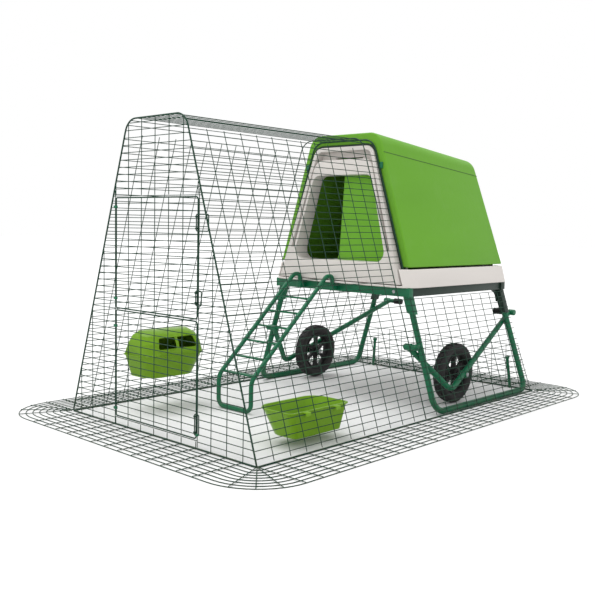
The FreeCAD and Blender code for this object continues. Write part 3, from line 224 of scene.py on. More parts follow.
def moulded(name, rgb, rough, grain=900.0, depth=0.00012, dust=0.04):
    """Moulded plastic: a fine spark-eroded grain, faint flow marks and dust in the low spots."""
    f = Finish(name)
    flow = f.noise(2.2, 3.0, 0.5, (1.0, 0.35, 1.6))
    cloud = f.noise(9.0, 5.0, 0.65)
    body = f.tint(flow, shade(rgb, 0.93), shade(rgb, 1.06))
    dusty = f.mix(f.band(cloud, 0.52, 0.78, 0.0, dust), body, (*shade((0.62, 0.60, 0.54), 0.9), 1.0))
    grain_height = f.noise(grain, 2.0, 0.5)
    scuff = f.noise(38.0, 6.0, 0.72, (1.0, 6.0, 1.0))
    rim = f.bump(scuff, 0.10, 0.0006)
    f.set(Base_Color=dusty, Roughness=f.band(scuff, 0.35, 0.75, rough - 0.07, rough + 0.09),
          Normal=f.bump(grain_height, 0.30, depth, rim), IOR=1.49,
          Specular_IOR_Level=0.18)
    return f.material


def powder_coat(name, rgb, rough, orange_peel=260.0):
    """Powder-coated steel: orange peel, thin spots and a little soil low down."""
    f = Finish(name)
    peel = f.noise(orange_peel, 2.0, 0.45)
    wear = f.noise(21.0, 7.0, 0.7)
    height = f.node("ShaderNodeSeparateXYZ", {"Vector": f.coords}).outputs["Z"]
    low_down = f.band(height, 0.0, 0.10, 0.55, 0.0)
    soil = f.node("ShaderNodeMath", {0: low_down, 1: f.band(wear, 0.45, 0.7, 0.0, 1.0)},
                  operation="MULTIPLY", use_clamp=True).outputs[0]
    body = f.tint(wear, shade(rgb, 0.86), shade(rgb, 1.12))
    f.set(Base_Color=f.mix(soil, body, (0.10, 0.082, 0.055, 1.0)),
          Roughness=f.band(peel, 0.3, 0.7, rough - 0.05, rough + 0.08),
          Normal=f.bump(peel, 0.22, 0.0004), IOR=1.5, Specular_IOR_Level=0.3)
    return f.material


def tyre_rubber(name, rgb):
    """Rubber with a matt bloom and dust caught in its grain."""
    f = Finish(name)
    bloom = f.noise(30.0, 6.0, 0.7)
    grain = f.noise(700.0, 2.0, 0.5)
    dust = f.band(bloom, 0.5, 0.75, 0.0, 0.35)
    f.set(Base_Color=f.mix(dust, (*rgb, 1.0), (0.055, 0.052, 0.047, 1.0)),
          Roughness=f.band(bloom, 0.3, 0.7, 0.62, 0.85), Normal=f.bump(grain, 0.4, 0.0003))
    return f.material


def plated(name, rgb):
    """Zinc-plated steel: fine turning marks and dull patches."""
    f = Finish(name)
    lines = f.noise(420.0, 3.0, 0.6, (1.0, 1.0, 9.0))
    patch = f.noise(60.0, 4.0, 0.6)
    f.set(Base_Color=f.tint(patch, shade(rgb, 0.8), rgb), Metallic=1.0,
          Roughness=f.band(patch, 0.3, 0.7, 0.28, 0.5), Normal=f.bump(lines, 0.15, 0.0002))
    return f.material


FINISHES = {}


def finish(name):
    """The finish of that name, built the first time it is asked for."""
    if name not in FINISHES:
        c = bpy.context.scene.coop_colours
        makers = {
            "wire": lambda: powder_coat("Coated mesh wire", tuple(c.wire), 0.55, 520.0),
            "tube": lambda: powder_coat("Coated tube", tuple(c.tube), 0.36),
            # the beam finish is near-black as painted shade under the house
            "beam": lambda: powder_coat("Coated beam", tuple(c.beam), 0.38),
            "cover": lambda: moulded("Cover plastic", tuple(c.cover), 0.50, 1100.0, 0.00010, 0.02),
            # Painted light: the leaves are the cover's lime plastic made 15% lighter, for the light falling
            # straight on the door
            "leaf": lambda: moulded("Leaf plastic lightened as painted light", shade(c.cover, 1.15), 0.42, 1300.0),
            # the inner finish is the deeper green that stands for the shade inside the house
            "inner": lambda: moulded("Inner plastic darkened as painted shade", tuple(c.inner), 0.5),
            "panel": lambda: moulded("Panel plastic", tuple(c.panel), 0.48, 1000.0),
            "feeder": lambda: moulded("Feeder plastic", tuple(c.feeder), 0.34, 1500.0, 0.00006),
            "dark": lambda: moulded("Black plastic", shade(c.rubber, 1.3), 0.45, 1200.0),
            "tyre": lambda: tyre_rubber("Tyre rubber", tuple(c.rubber)),
            "seal": lambda: tyre_rubber("Seal rubber", (0.012, 0.030, 0.014)),
            "steel": lambda: plated("Plated steel", tuple(c.steel)),
        }
        FINISHES[name] = makers[name]()
    return FINISHES[name]


# ---------------------------------------------------------------- Geometry Nodes
def new_tree(name, inputs):
    tree = bpy.data.node_groups.new(name, "GeometryNodeTree")
    tree.interface.new_socket("Geometry", in_out="INPUT", socket_type="NodeSocketGeometry")
    tree.interface.new_socket("Geometry", in_out="OUTPUT", socket_type="NodeSocketGeometry")
    for label, kind, default in inputs:
        socket = tree.interface.new_socket(label, in_out="INPUT", socket_type=kind)
        if default is not None:
            socket.default_value = default
    return tree, tree.nodes.new("NodeGroupInput").outputs, tree.nodes.new("NodeGroupOutput")


def chain(tree, output, source, steps):
    """Links one geometry node after another, then to the tree's output."""
    for kind, inputs, values in steps:
        node = tree.nodes.new(kind)
        for key, value in values.items():
            setattr(node, key, value)
        geometry = next(s for s in node.inputs if s.type == "GEOMETRY")
        tree.links.new(source, geometry)
        for key, value in inputs.items():
            if isinstance(value, bpy.types.NodeSocket):
                tree.links.new(value, node.inputs[key])
            else:
                node.inputs[key].default_value = value
        source = node.outputs[0]
    tree.links.new(source, output.inputs[0])


def wire_tree():
    """A round wire along every line of edges, with closed ends."""
    tree, given, output = new_tree("Round wire", (("Thickness", "NodeSocketFloat", 0.0026),
                                                  ("Faces round", "NodeSocketInt", 8),
                                                  ("Material", "NodeSocketMaterial", None)))
    radius = tree.nodes.new("ShaderNodeMath")
    radius.operation = "MULTIPLY"
    radius.inputs[1].default_value = 0.5
    tree.links.new(given["Thickness"], radius.inputs[0])
    ring = tree.nodes.new("GeometryNodeCurvePrimitiveCircle")
    tree.links.new(given["Faces round"], ring.inputs["Resolution"])
    tree.links.new(radius.outputs[0], ring.inputs["Radius"])
    chain(tree, output, given["Geometry"], (
        ("GeometryNodeMeshToCurve", {}, {}),
        ("GeometryNodeCurveToMesh", {"Profile Curve": ring.outputs["Curve"], "Fill Caps": True}, {}),
        ("GeometryNodeRealizeInstances", {}, {}),
        ("GeometryNodeSetMaterial", {"Material": given["Material"]}, {}),
    ))
    return tree


def repeat_tree():
    """Copies of a shape, each a step and a turn on from the one before."""
    tree, given, output = new_tree("Repeated part", (("Count", "NodeSocketInt", 2),
                                                     ("Step", "NodeSocketVector", (0.0, 0.0, 0.0)),
                                                     ("Turn", "NodeSocketVector", (0.0, 0.0, 0.0)),
                                                     ("Centre", "NodeSocketVector", (0.0, 0.0, 0.0)),
                                                     ("Material", "NodeSocketMaterial", None)))
    copies = tree.nodes.new("GeometryNodeDuplicateElements")
    copies.domain = "INSTANCE"
    whole = tree.nodes.new("GeometryNodeGeometryToInstance")
    tree.links.new(given["Geometry"], whole.inputs[0])
    tree.links.new(whole.outputs[0], copies.inputs["Geometry"])
    tree.links.new(given["Count"], copies.inputs["Amount"])

    def times(socket):
        scale = tree.nodes.new("ShaderNodeVectorMath")
        scale.operation = "SCALE"
        tree.links.new(socket, scale.inputs[0])
        tree.links.new(copies.outputs["Duplicate Index"], scale.inputs["Scale"])
        return scale.outputs[0]

    chain(tree, output, copies.outputs["Geometry"], (
        ("GeometryNodeRotateInstances", {"Rotation": times(given["Turn"]), "Pivot Point": given["Centre"],
                                         "Local Space": False}, {}),
        ("GeometryNodeTranslateInstances", {"Translation": times(given["Step"]), "Local Space": False}, {}),
        ("GeometryNodeRealizeInstances", {}, {}),
        ("GeometryNodeSetMaterial", {"Material": given["Material"]}, {}),
    ))
    return tree


TREES = {}


def grown(name, mesh, kind, body, **inputs):
    """A plain mesh made by a node tree from a starting mesh, riding on a body."""
    if kind not in TREES:
        TREES[kind] = {"wire": wire_tree, "repeat": repeat_tree}[kind]()
    source = bpy.data.objects.new(name + "_source", mesh)
    bpy.context.scene.collection.objects.link(source)
    modifier = source.modifiers.new(name, "NODES")
    modifier.node_group = TREES[kind]
    for item in TREES[kind].interface.items_tree:
        if item.in_out == "INPUT" and item.name.replace(" ", "_") in inputs:
            modifier[item.identifier] = inputs[item.name.replace(" ", "_")]
    bpy.context.view_layer.update()
    evaluated = source.evaluated_get(bpy.context.evaluated_depsgraph_get())
    result = bpy.data.meshes.new_from_object(evaluated)
    bpy.data.objects.remove(source)
    return placed(name, result, body)


def placed(name, mesh, body, material=None, smooth_angle=40.0):
    """A finished mesh as an object of the coop that moves with a body."""
    if not mesh.polygons:
        raise RuntimeError(f"{name} has no faces")
    mesh.name = name
    if material:
        mesh.materials.clear()
        mesh.materials.append(material)
    mesh.shade_smooth()
    mesh.set_sharp_from_angle(angle=math.radians(smooth_angle))
    made = bpy.data.objects.new(name, mesh)
    bpy.context.scene.collection.objects.link(made)
    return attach(made, body)


# ---------------------------------------------------------------- shapes
def lines_mesh(name, lines):
    """Edges along each line; a line is (points, closed)."""
    mesh = bpy.data.meshes.new(name)
    points, edges = [], []
    for line, closed in lines:
        first = len(points)
        points += [tuple(p) for p in line]
        edges += [(first + i, first + i + 1) for i in range(len(line) - 1)]
        if closed:
            edges.append((len(points) - 1, first))
    mesh.from_pydata(points, edges, [])
    return mesh


def bent(points, bends, steps=8, closed=False):
    """A line through points with an arc of the given radius at each inner corner."""
    points = [Vector(p) for p in points]
    count = len(points)
    line = []
    for i, corner in enumerate(points):
        ends = not closed and i in (0, count - 1)
        radius = 0.0 if ends else bends[i if closed else i - 1]
        if ends or radius <= 0:
            line.append(corner)
            continue
        back = (points[i - 1] - corner).normalized()
        on = (points[(i + 1) % count] - corner).normalized()
        half = back.angle(on) / 2
        run = radius / math.tan(half)
        middle = corner + (back + on).normalized() * (radius / math.sin(half))
        start, stop = corner + back * run, corner + on * run
        u = (start - middle).normalized()
        full = u.angle(stop - middle)
        w = ((stop - middle) - u * (stop - middle).dot(u)).normalized()
        for k in range(steps + 1):
            a = full * k / steps
            line.append(middle + (u * math.cos(a) + w * math.sin(a)) * radius)
    return line


def node_parts(node):
    """The separate solids of a CAD node, as arrays of corner points."""
    data = frame["nodes"][node].data
    co = np.array([v.co for v in data.vertices], float)
    keys = np.round(co * 1e5).astype(int)
    _, first, same = np.unique(keys, axis=0, return_index=True, return_inverse=True)
    same = same.reshape(-1)
    parent = list(range(len(first)))

    def root(i):
        while parent[i] != i:
            parent[i] = parent[parent[i]]
            i = parent[i]
        return i

    for polygon in data.polygons:
        a, *rest = [root(same[v]) for v in polygon.vertices]
        for b in rest:
            parent[root(b)] = root(a)
    groups = {}
    for i in range(len(first)):
        groups.setdefault(root(i), []).append(co[first[i]])
    return [np.array(g) for g in groups.values()]


def bar_lines(node):
    """The middle line of every straight bar in a CAD node."""
    lines = []
    for points in node_parts(node):
        centre = points.mean(0)
        _, _, axes = np.linalg.svd(points - centre, full_matrices=False)
        spans = [(points - centre) @ a for a in axes]
        if np.ptp(spans[1]) > 0.02:
            continue
        middle = centre + sum(a * (s.max() + s.min()) / 2 for a, s in zip(axes[1:], spans[1:]))
        ends = [middle + axes[0] * spans[0].min(), middle + axes[0] * spans[0].max()]
        lines.append(([Vector(e) for e in ends], False))
    return lines


def wires(name, lines, thickness, body, faces=8, material="wire"):
    return grown(name, lines_mesh(name, lines), "wire", body, Thickness=thickness, Faces_round=faces,
                 Material=finish(material))


def merged_copy(*nodes):
    """One bmesh with the CAD nodes' triangles joined up."""
    bm = bmesh.new()
    for node in nodes:
        bm.from_mesh(frame["nodes"][node].data)
    bmesh.ops.remove_doubles(bm, verts=bm.verts, dist=2e-5)
    bmesh.ops.dissolve_limit(bm, angle_limit=math.radians(0.4), verts=bm.verts, edges=bm.edges)
    return bm


def softened(name, nodes, material, width, segments=3, angle=30.0, smooth_angle=35.0):
    """CAD nodes with their edges rounded, as one piece that stands for them."""
    bm = merged_copy(*nodes)
    mesh = bpy.data.meshes.new(name)
    bm.to_mesh(mesh)
    bm.free()
    source = bpy.data.objects.new(name + "_source", mesh)
    bpy.context.scene.collection.objects.link(source)
    bevel = source.modifiers.new("Edges", "BEVEL")
    bevel.width, bevel.segments = width, segments
    bevel.limit_method, bevel.angle_limit = "ANGLE", math.radians(angle)
    bevel.use_clamp_overlap = True
    bevel.harden_normals = False
    bpy.context.view_layer.update()
    result = bpy.data.meshes.new_from_object(source.evaluated_get(bpy.context.evaluated_depsgraph_get()))
    bpy.data.objects.remove(source)
    made = placed(name, result, NODE_BODY[nodes[0]], finish(material), smooth_angle)
    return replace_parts(made, *nodes)


def turned(name, profile, centre, axis, steps, closed=True):
    """A ring turned about an axis; the profile is (along the axis, radius) pairs."""
    axis = Vector(axis).normalized()
    side = Vector((0, 0, 1)) if abs(axis.z) < 0.9 else Vector((0, 1, 0))
    other = axis.cross(side)
    bm = bmesh.new()
    rings = []
    for k in range(steps):
        a = 2 * math.pi * k / steps
        out = side * math.cos(a) + other * math.sin(a)
        rings.append([bm.verts.new(Vector(centre) + axis * along + out * r) for along, r in profile])
    count = len(profile)
    for k in range(steps):
        here, there = rings[k], rings[(k + 1) % steps]
        for i in range(count if closed else count - 1):
            j = (i + 1) % count
            bm.faces.new((here[i], here[j], there[j], there[i]))
    bmesh.ops.remove_doubles(bm, verts=bm.verts, dist=1e-6)
    bmesh.ops.recalc_face_normals(bm, faces=bm.faces)
    mesh = bpy.data.meshes.new(name)
    bm.to_mesh(mesh)
    bm.free()
    return mesh


def joined(name, meshes):
    bm = bmesh.new()
    for mesh in meshes:
        bm.from_mesh(mesh)
    result = bpy.data.meshes.new(name)
    bm.to_mesh(result)
    bm.free()
    return result


def box_mesh(name, low, high, bevel=0.0, segments=2):
    bm = bmesh.new()
    bmesh.ops.create_cube(bm, size=1.0)
    low, high = Vector(low), Vector(high)
    for v in bm.verts:
        v.co = Vector((low[i] + (v.co[i] + 0.5) * (high[i] - low[i]) for i in range(3)))
    if bevel:
        bmesh.ops.bevel(bm, geom=bm.edges, offset=bevel, segments=segments, profile=0.5, affect="EDGES")
    mesh = bpy.data.meshes.new(name)
    bm.to_mesh(mesh)
    bm.free()
    return mesh


# ---------------------------------------------------------------- the pieces
class CoopPiece:
    """Shared by the operators: the coop's sizes, and a run that stops on failure."""
    bl_options = {"REGISTER"}

    @property
    def sizes(self):
        return bpy.context.scene.coop_sizes

    def execute(self, context):
        self.build()
        return {"FINISHED"}


class COOP_OT_mesh(CoopPiece, bpy.types.Operator):
    """Round wires for the welded mesh of the run and of the stand's sides"""
    bl_idname = "coop.mesh"
    bl_label = "Mesh Panels"

    def build(self):
        for node in MESH_PANELS:
            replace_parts(wires("wires_" + node, bar_lines(node), self.sizes.wire, "coop", 6), node)
        for node in ("front_arch", "house_arch"):
            low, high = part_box(node)
            half = self.sizes.rim / 2
            y, foot, crown = (low.y + high.y) / 2, low.z, high.z - half
            base = foot_half_width() - LEAN * foot
            top = foot_half_width() - LEAN * crown
            path = bent([(base, y, foot), (top, y, crown), (-top, y, crown), (-base, y, foot)],
                        [self.sizes.arch_bend] * 2, 14)
            bar = self.sizes.rim if node == "front_arch" else self.sizes.rim * INNER_BAR
            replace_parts(wires("bar_" + node, [(path, False)], bar, "coop", 12), node)
        self.collar()
        low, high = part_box("base_ring")
        half = self.sizes.rim / 2
        x, y = high.x - half, high.y - half
        ring = bent([(x, y, half), (-x, y, half), (-x, -y, half), (x, -y, half)], [0.008] * 4, 5, True)
        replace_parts(wires("foot_ring", [(ring, True)], self.sizes.rim, "coop", 12), "base_ring")


    def collar(self):
        """The last bay of the run, above the stand, and the bar that hugs the house's front panel."""
        s = self.sizes
        low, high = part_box("house_arch")
        start = (low.y + high.y) / 2
        end = start + s.bay
        lines = []
        for node in ("run_side_right", "run_side_left", "run_roof"):
            for (first, last), _ in bar_lines(node):
                along = abs(last.y - first.y)
                if along > s.bay * 2 and max(first.y, last.y) > start - s.bay / 2 and first.z > COLLAR_FOOT:
                    ends = [Vector((first.x, y, first.z)) for y in (start, end)]
                    lines.append((ends, False))
                elif along < s.row and start - s.bay * 0.9 < first.y < start - s.wire and node == "run_roof":
                    lines.append(([p + Vector((0, s.bay, 0)) for p in (first, last)], False))
        wires("collar_wires", lines, s.wire, "coop", 6)
        crown = high.z - s.rim / 2
        half, top = (foot_half_width() - LEAN * z for z in (COLLAR_FOOT, crown))
        corners = [(half, end, COLLAR_FOOT), (top, end, crown), (-top, end, crown),
                   (-half, end, COLLAR_FOOT)]
        path = bent(corners, [s.arch_bend] * 2, 14)
        wires("collar_bar", [(path, False)], s.rim, "coop", 12)


class COOP_OT_skirt(CoopPiece, bpy.types.Operator):
    """The mesh skirt: rings round the coop and the wires that cross them"""
    bl_idname = "coop.skirt"
    bl_label = "Skirt"

    def build(self):
        s = self.sizes
        half = s.rim / 2
        low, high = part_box("base_ring")
        x, y = high.x - half, high.y - half
        rings = []
        for i in range(1, s.skirt_rows + 1):
            out = i * s.row
            corners = [(x + out, y + out), (-x - out, y + out), (-x - out, -y - out), (x + out, -y - out)]
            rings.append((bent([(*c, s.wire / 2) for c in corners], [out] * 4, 12, True), True))
        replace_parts(wires("skirt_rings", rings, s.wire, "coop", 6), "skirt")
        crossing = [line for line in bar_lines("skirt") if line[0][0].z > s.wire]
        crossing += [line for line in bar_lines("skirt_corners") if line[0][0].z > s.wire]
        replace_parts(wires("skirt_wires", crossing, s.wire, "coop", 6), "skirt_corners")


class COOP_OT_doors(CoopPiece, bpy.types.Operator):
    """The run's two doors, with their frames, mesh, hinge clips and latches"""
    bl_idname = "coop.doors"
    bl_label = "Run Doors"

    def build(self):
        s = self.sizes
        for name, body in (("run_door_upper", "upper_door"), ("run_door_lower", "lower_door")):
            low, high = door_span(name, s.door_bar)
            y = (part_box("front_arch")[0].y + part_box("front_arch")[1].y) / 2
            half = DOOR_HALF
            path = bent([(-half, y, low), (half, y, low), (half, y, high), (-half, y, high)],
                        [0.006, 0.010, 0.010, 0.006], 6, True)
            frame_wire = wires(name + "_frame", [(path, True)], s.door_bar, body, 12)
            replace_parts(frame_wire, name)
            wires(name + "_wires", bar_lines(name), s.wire, body, 6)
            eyes = [([Vector((half, y + LATCH_OFF, z + end)) for end in (-EYE_HALF, EYE_HALF)], False)
                    for z in DOOR_EYES[name]]
            wires(name + "_eyes", eyes, EYE_THICKNESS, body, 16)
        for node, body in (("latch_upper", "upper_latch"), ("latch_middle", "middle_latch"),
                           ("latch_lower", "lower_latch")):
            low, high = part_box(node)
            half = s.latch_bar / 2
            y = high.y - half
            path = bent([(low.x + half, y, low.z + half), (high.x - half, y, low.z + half),
                         (high.x - half, y, high.z - half), (low.x + half, y, high.z - half)],
                        [0.004, 0.006, 0.006, 0.004], 6, True)
            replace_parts(wires("bent_" + node, [(path, True)], s.latch_bar, body, 10), node)
        low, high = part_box("latch_lower")
        knob = turned("latch_knob", KNOB_PROFILE, (high.x - 0.002, low.y, low.z + 0.006), (0, 1, 0), 20)
        placed("latch_knob", knob, "lower_latch", finish("tube"))
        softened("hinge_clips", ["door_hinge_clips"], "tube", 0.0006, 2)


def foot_half_width():
    low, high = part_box("base_ring")
    return high.x - bpy.context.scene.coop_sizes.rim / 2


def door_span(name, bar):
    low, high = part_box(name)
    return low.z + bar / 2, high.z - bar / 2


class COOP_OT_stand(CoopPiece, bpy.types.Operator):
    """The stand: bent tube loops under a frame of box-section beams"""
    bl_idname = "coop.stand"
    bl_label = "Stand"

    def build(self):
        s = self.sizes
        r = s.stand_tube / 2
        for side, sign in SIDES:
            low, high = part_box("stand_loop_" + side)
            top_z = high.z - 0.004
            front, rear = low.y + r, high.y - r

            def at(y, z):
                return (sign * (foot_half_width() - STAND_INSET - LEAN * z), y, z)

            lean_back = REAR_LEG_LEAN * (top_z - r)
            path = bent([at(front, top_z), at(front, r), at(rear, r), at(rear - lean_back, top_z)],
                        [FRONT_BEND, REAR_BEND], 14)
            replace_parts(wires("loop_" + side, [(path, False)], s.stand_tube, "coop", 28, "tube"),
                        "stand_loop_" + side)
            rail = softened("rail_" + side, ["side_rail_" + side], "beam", 0.0015)
            # Painted light and shade: the rail's front end by the sleeve, out in the light, takes the tube
            # green, and the rest, under the house, the near-black beam colour
            rail.data.materials.append(finish("tube"))
            sleeve_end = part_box("front_beam")[1].y + s.stand_tube
            for polygon in rail.data.polygons:
                polygon.material_index = int(polygon.center.y < sleeve_end)
            softened("bracket_" + side, ["arm_bracket_" + side], "tube", 0.001)
        softened("beam_front", ["front_beam"], "tube", 0.002)
        # the back beam takes the near-black beam colour as painted shade under the house
        softened("beam_rear", ["rear_beam"], "beam", 0.002)
        softened("beam_bolt_heads", ["beam_bolts"], "steel", 0.0008)
        for side, sign in SIDES:
            low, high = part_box("front_beam")
            x = sign * (high.x + 0.0005)
            cap = box_mesh("cap", (min(x, x - sign * 0.006), low.y - 0.001, low.z - 0.001),
                           (max(x, x - sign * 0.006), high.y + 0.001, high.z + 0.001), 0.0015)
            placed("beam_cap_" + side, cap, "coop", finish("tube"))
        softened("ground_pins", ["rear_pins"], "tube", 0.0006, 2)


class COOP_OT_arms(CoopPiece, bpy.types.Operator):
    """The bent lifting arms with their hubs, cross handles and grips"""
    bl_idname = "coop.arms"
    bl_label = "Lifting Arms"

    def build(self):
        s = self.sizes
        for side, sign in SIDES:
            body = "arm_" + side
            path = bent([(sign * x, y, z) for x, y, z in (ARM_START, ARM_ELBOW, ARM_END)], [ARM_BEND], 16)
            wires("bent_arm_" + side, [(path, False)], s.arm_tube, body, 28, "tube")
            _, y, z = ARM_START
            hub = turned("hub", ((0.364, 0.0052), (0.364, 0.0125), (0.3655, 0.014), (0.3965, 0.014),
                                 (0.398, 0.0125), (0.398, 0.0052)), (0, y, z), (sign, 0, 0), 32)
            placed("arm_hub_" + side, hub, body, finish("tube"))
            _, y, z = ARM_END
            cross = turned("cross", ((0.278, 0.0), (0.278, 0.011), (0.354, 0.011), (0.356, 0.0135),
                                     (0.3575, 0.014), (0.3835, 0.014), (0.386, 0.0125), (0.386, 0.0)),
                           (0, y, z), (sign, 0, 0), 28)
            placed("arm_cross_" + side, cross, body, finish("tube"))
            grip = [(0.275, 0.0), (0.275, 0.012), (0.277, 0.015)]
            for k in range(7):
                start = 0.279 + k * 0.0057
                grip += [(start, 0.0150), (start + 0.0036, 0.0150), (start + 0.0041, 0.0138),
                         (start + 0.0052, 0.0138)]
            grip += [(0.3198, 0.0150), (0.3200, 0.0112)]
            mesh = turned("grip", grip + [(0.3200, 0.0)], (0, y, z), (sign, 0, 0), 32)
            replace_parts(placed("grip_" + side, mesh, body, finish("dark")), "arm_grip_" + side)
            low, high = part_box("axle_" + side)
            ends = (low.x, high.x) if sign > 0 else (-high.x, -low.x)
            inner, outer = ends
            middle = ((low.y + high.y) / 2, (low.z + high.z) / 2)
            boss = turned("boss", ((outer - 0.036, 0.0), (outer - 0.036, 0.0135), (outer - 0.0345, 0.015),
                                   (outer - 0.0065, 0.015), (outer - 0.005, 0.0135), (outer - 0.005, 0.0)),
                          (0, *middle), (sign, 0, 0), 28)
            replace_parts(placed("arm_boss_" + side, boss, body, finish("tube")), "wheel_arm_" + side)
            softened("axle_pin_" + side, ["axle_" + side], "steel", 0.0008)


class COOP_OT_wheels(CoopPiece, bpy.types.Operator):
    """Wheels: a treaded tyre on a spoked plastic rim"""
    bl_idname = "coop.wheels"
    bl_label = "Wheels"

    def build(self):
        s = self.sizes
        for side, sign in SIDES:
            body = "wheel_" + side
            low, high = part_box("tyre_" + side)
            centre = (low + high) / 2
            radius, half = (high.z - low.z) / 2, (high.x - low.x) / 2
            tyre = turned("tyre", tyre_profile(radius - 0.004, half), centre, (1, 0, 0), 72)
            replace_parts(placed("tyre_body_" + side, tyre, body, finish("tyre"), 50), "tyre_" + side)
            blocks = []
            for k, (x0, x1) in enumerate(((-0.86, -0.36), (-0.28, 0.28), (0.36, 0.86))):
                skew = 0.35 if k == 1 else 0.0
                blocks.append(tread_block(centre, radius, x0 * half, x1 * half, 2 * math.pi / s.treads, skew))
            grown("tyre_tread_" + side, joined("tread", blocks), "repeat", body, Count=s.treads,
                  Turn=(2 * math.pi / s.treads, 0.0, 0.0), Centre=tuple(centre), Material=finish("tyre"))
            rim_r = radius * RIM_SHARE
            band = turned("band", [(-half + 0.008, rim_r + 0.0005), (-half + 0.004, rim_r + 0.004),
                                   (-half + 0.002, rim_r + 0.002), (-half + 0.004, rim_r - 0.006),
                                   (-half + 0.012, rim_r - 0.010), (half - 0.012, rim_r - 0.010),
                                   (half - 0.004, rim_r - 0.006), (half - 0.002, rim_r + 0.002),
                                   (half - 0.004, rim_r + 0.004), (half - 0.008, rim_r + 0.0005)],
                          centre, (1, 0, 0), 64)
            hub_half = [(-half, 0.0065), (-half, 0.016), (-half + 0.002, 0.019), (-half + 0.012, 0.021)]
            hub = turned("hub", hub_half + [(-along, r) for along, r in reversed(hub_half)],
                         centre, (1, 0, 0), 40)
            placed("rim_band_" + side, joined("rim", [band, hub]), body, finish("dark"), 50)
            spoke = spoke_mesh(centre, 0.018, rim_r - 0.008)
            spokes = grown("rim_spokes_" + side, spoke, "repeat", body, Count=s.spokes,
                           Turn=(2 * math.pi / s.spokes, 0.0, 0.0), Centre=tuple(centre),
                           Material=finish("dark"))
            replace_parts(spokes, "wheel_rim_" + side)


def tyre_profile(radius, half):
    """The tyre's closed section: bead, bulging side wall and crowned tread."""
    rim = radius * RIM_SHARE + 0.0025
    wall = [(0.62, rim), (0.80, rim + 0.006), (0.97, rim + 0.016), (1.0, rim + 0.024),
            (0.985, radius - 0.010), (0.92, radius - 0.004), (0.80, radius - 0.001), (0.5, radius)]
    right = [(x * half, r) for x, r in wall]
    left = [(-x, r) for x, r in reversed(right)]
    return right + left


def tread_block(centre, radius, x0, x1, pitch, skew):
    """One raised block at the top of the tyre, between two places across it."""
    bm = bmesh.new()
    half_angle = pitch * 0.36
    for x in (x0, x1):
        shift = skew * half_angle * (1 if x > 0 else -1)
        for r in (radius - 0.0075, radius - 0.0004):
            drop = 0.0035 if abs(x) > 0.018 else 0.0
            for a in (-half_angle, 0.0, half_angle):
                t = a + shift
                out = r - drop
                bm.verts.new((centre.x + x, centre.y + out * math.sin(t), centre.z + out * math.cos(t)))
    bmesh.ops.convex_hull(bm, input=bm.verts)
    bmesh.ops.bevel(bm, geom=[e for e in bm.edges if len(e.link_faces) == 2 and e.calc_face_angle(0) > 0.7],
                    offset=0.0007, segments=1, affect="EDGES")
    bmesh.ops.recalc_face_normals(bm, faces=bm.faces)
    mesh = bpy.data.meshes.new("block")
    bm.to_mesh(mesh)
    bm.free()
    return mesh


def spoke_mesh(centre, inner, outer):
    """A ribbed spoke that widens to both ends."""
    bm = bmesh.new()
    rows = []
    for share, width, depth in ((0.0, 0.011, 0.011), (0.15, 0.008, 0.010), (0.5, 0.0065, 0.008),
                                (0.85, 0.010, 0.009), (1.0, 0.020, 0.010)):
        r = inner + share * (outer - inner)
        waist_x, waist_y = depth * 0.35, width * 0.7
        section = ((-depth, -width), (-depth, width), (-waist_x, waist_y), (waist_x, waist_y),
                   (depth, width), (depth, -width), (waist_x, -waist_y), (-waist_x, -waist_y))
        rows.append([bm.verts.new((centre.x + x, centre.y + y, centre.z + r)) for x, y in section])
    for here, there in zip(rows, rows[1:]):
        for i in range(8):
            j = (i + 1) % 8
            bm.faces.new((here[i], here[j], there[j], there[i]))
    bm.faces.new(rows[0])
    bm.faces.new(rows[-1])
    bmesh.ops.recalc_face_normals(bm, faces=bm.faces)
    bmesh.ops.bevel(bm, geom=bm.edges, offset=0.0008, segments=2, affect="EDGES")
    mesh = bpy.data.meshes.new("spoke")
    bm.to_mesh(mesh)
    bm.free()
    return mesh


class COOP_OT_house(CoopPiece, bpy.types.Operator):
    """The house: cover, end panels, tub, leaves and the fittings inside"""
    bl_idname = "coop.house"
    bl_label = "House"

    def build(self):
        edge = self.sizes.edge
        softened("house_cover", ["cover"], "cover", edge * 2.4, 5, 40.0)
        softened("house_front", ["front_panel"], "panel", edge * 1.4, 4)
        softened("house_rear", ["rear_panel"], "panel", edge * 1.4, 4)
        softened("house_tub", ["base_tub"], "panel", edge * 2.0, 4)
        gasket = softened("front_gasket", ["front_seal"], "seal", 0.001, 2)
        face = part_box("cover")[0].y
        for v in gasket.data.vertices:
            v.co.y = max(v.co.y, face - 0.001)
        # Painted shade: a thin dark rubber rod along each side of the cover draws the shadow in the crease
        # where the roof's curve meets the flat side
        crease_shadow_lines = []
        for _, sign in SIDES:
            ends = [Vector((sign * cover_half_width(z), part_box("cover")[k].y * share, z))
                    for k, (z, share) in enumerate(((CREASE_SHADE_Z[0], 1.0), (CREASE_SHADE_Z[1], 0.955)))]
            crease_shadow_lines.append((ends, False))
        wires("cover_seams", crease_shadow_lines, 0.0024, "coop", 8, "seal")
        softened("rear_gasket", ["rear_seal"], "seal", 0.001, 2)
        softened("leaf_fixed", ["fixed_leaf"], "leaf", 0.001, 3)
        softened("leaf_sliding", ["sliding_leaf"], "leaf", 0.001, 3)
        # The guides, tray, roosts and divider take the deeper inner green as painted shade of the house's
        # inside
        softened("leaf_guides", ["door_guides"], "inner", 0.001, 2)
        softened("tray_droppings", ["droppings_tray"], "inner", 0.001, 2)
        softened("roosts", ["roosting_bars"], "inner", 0.004, 3)
        softened("divider", ["nest_divider"], "inner", 0.001, 2)
        softened("clips", ["cover_clips"], "tube", 0.001, 2)
        softened("turn_knob", ["rear_handle"], "cover", edge, 4)


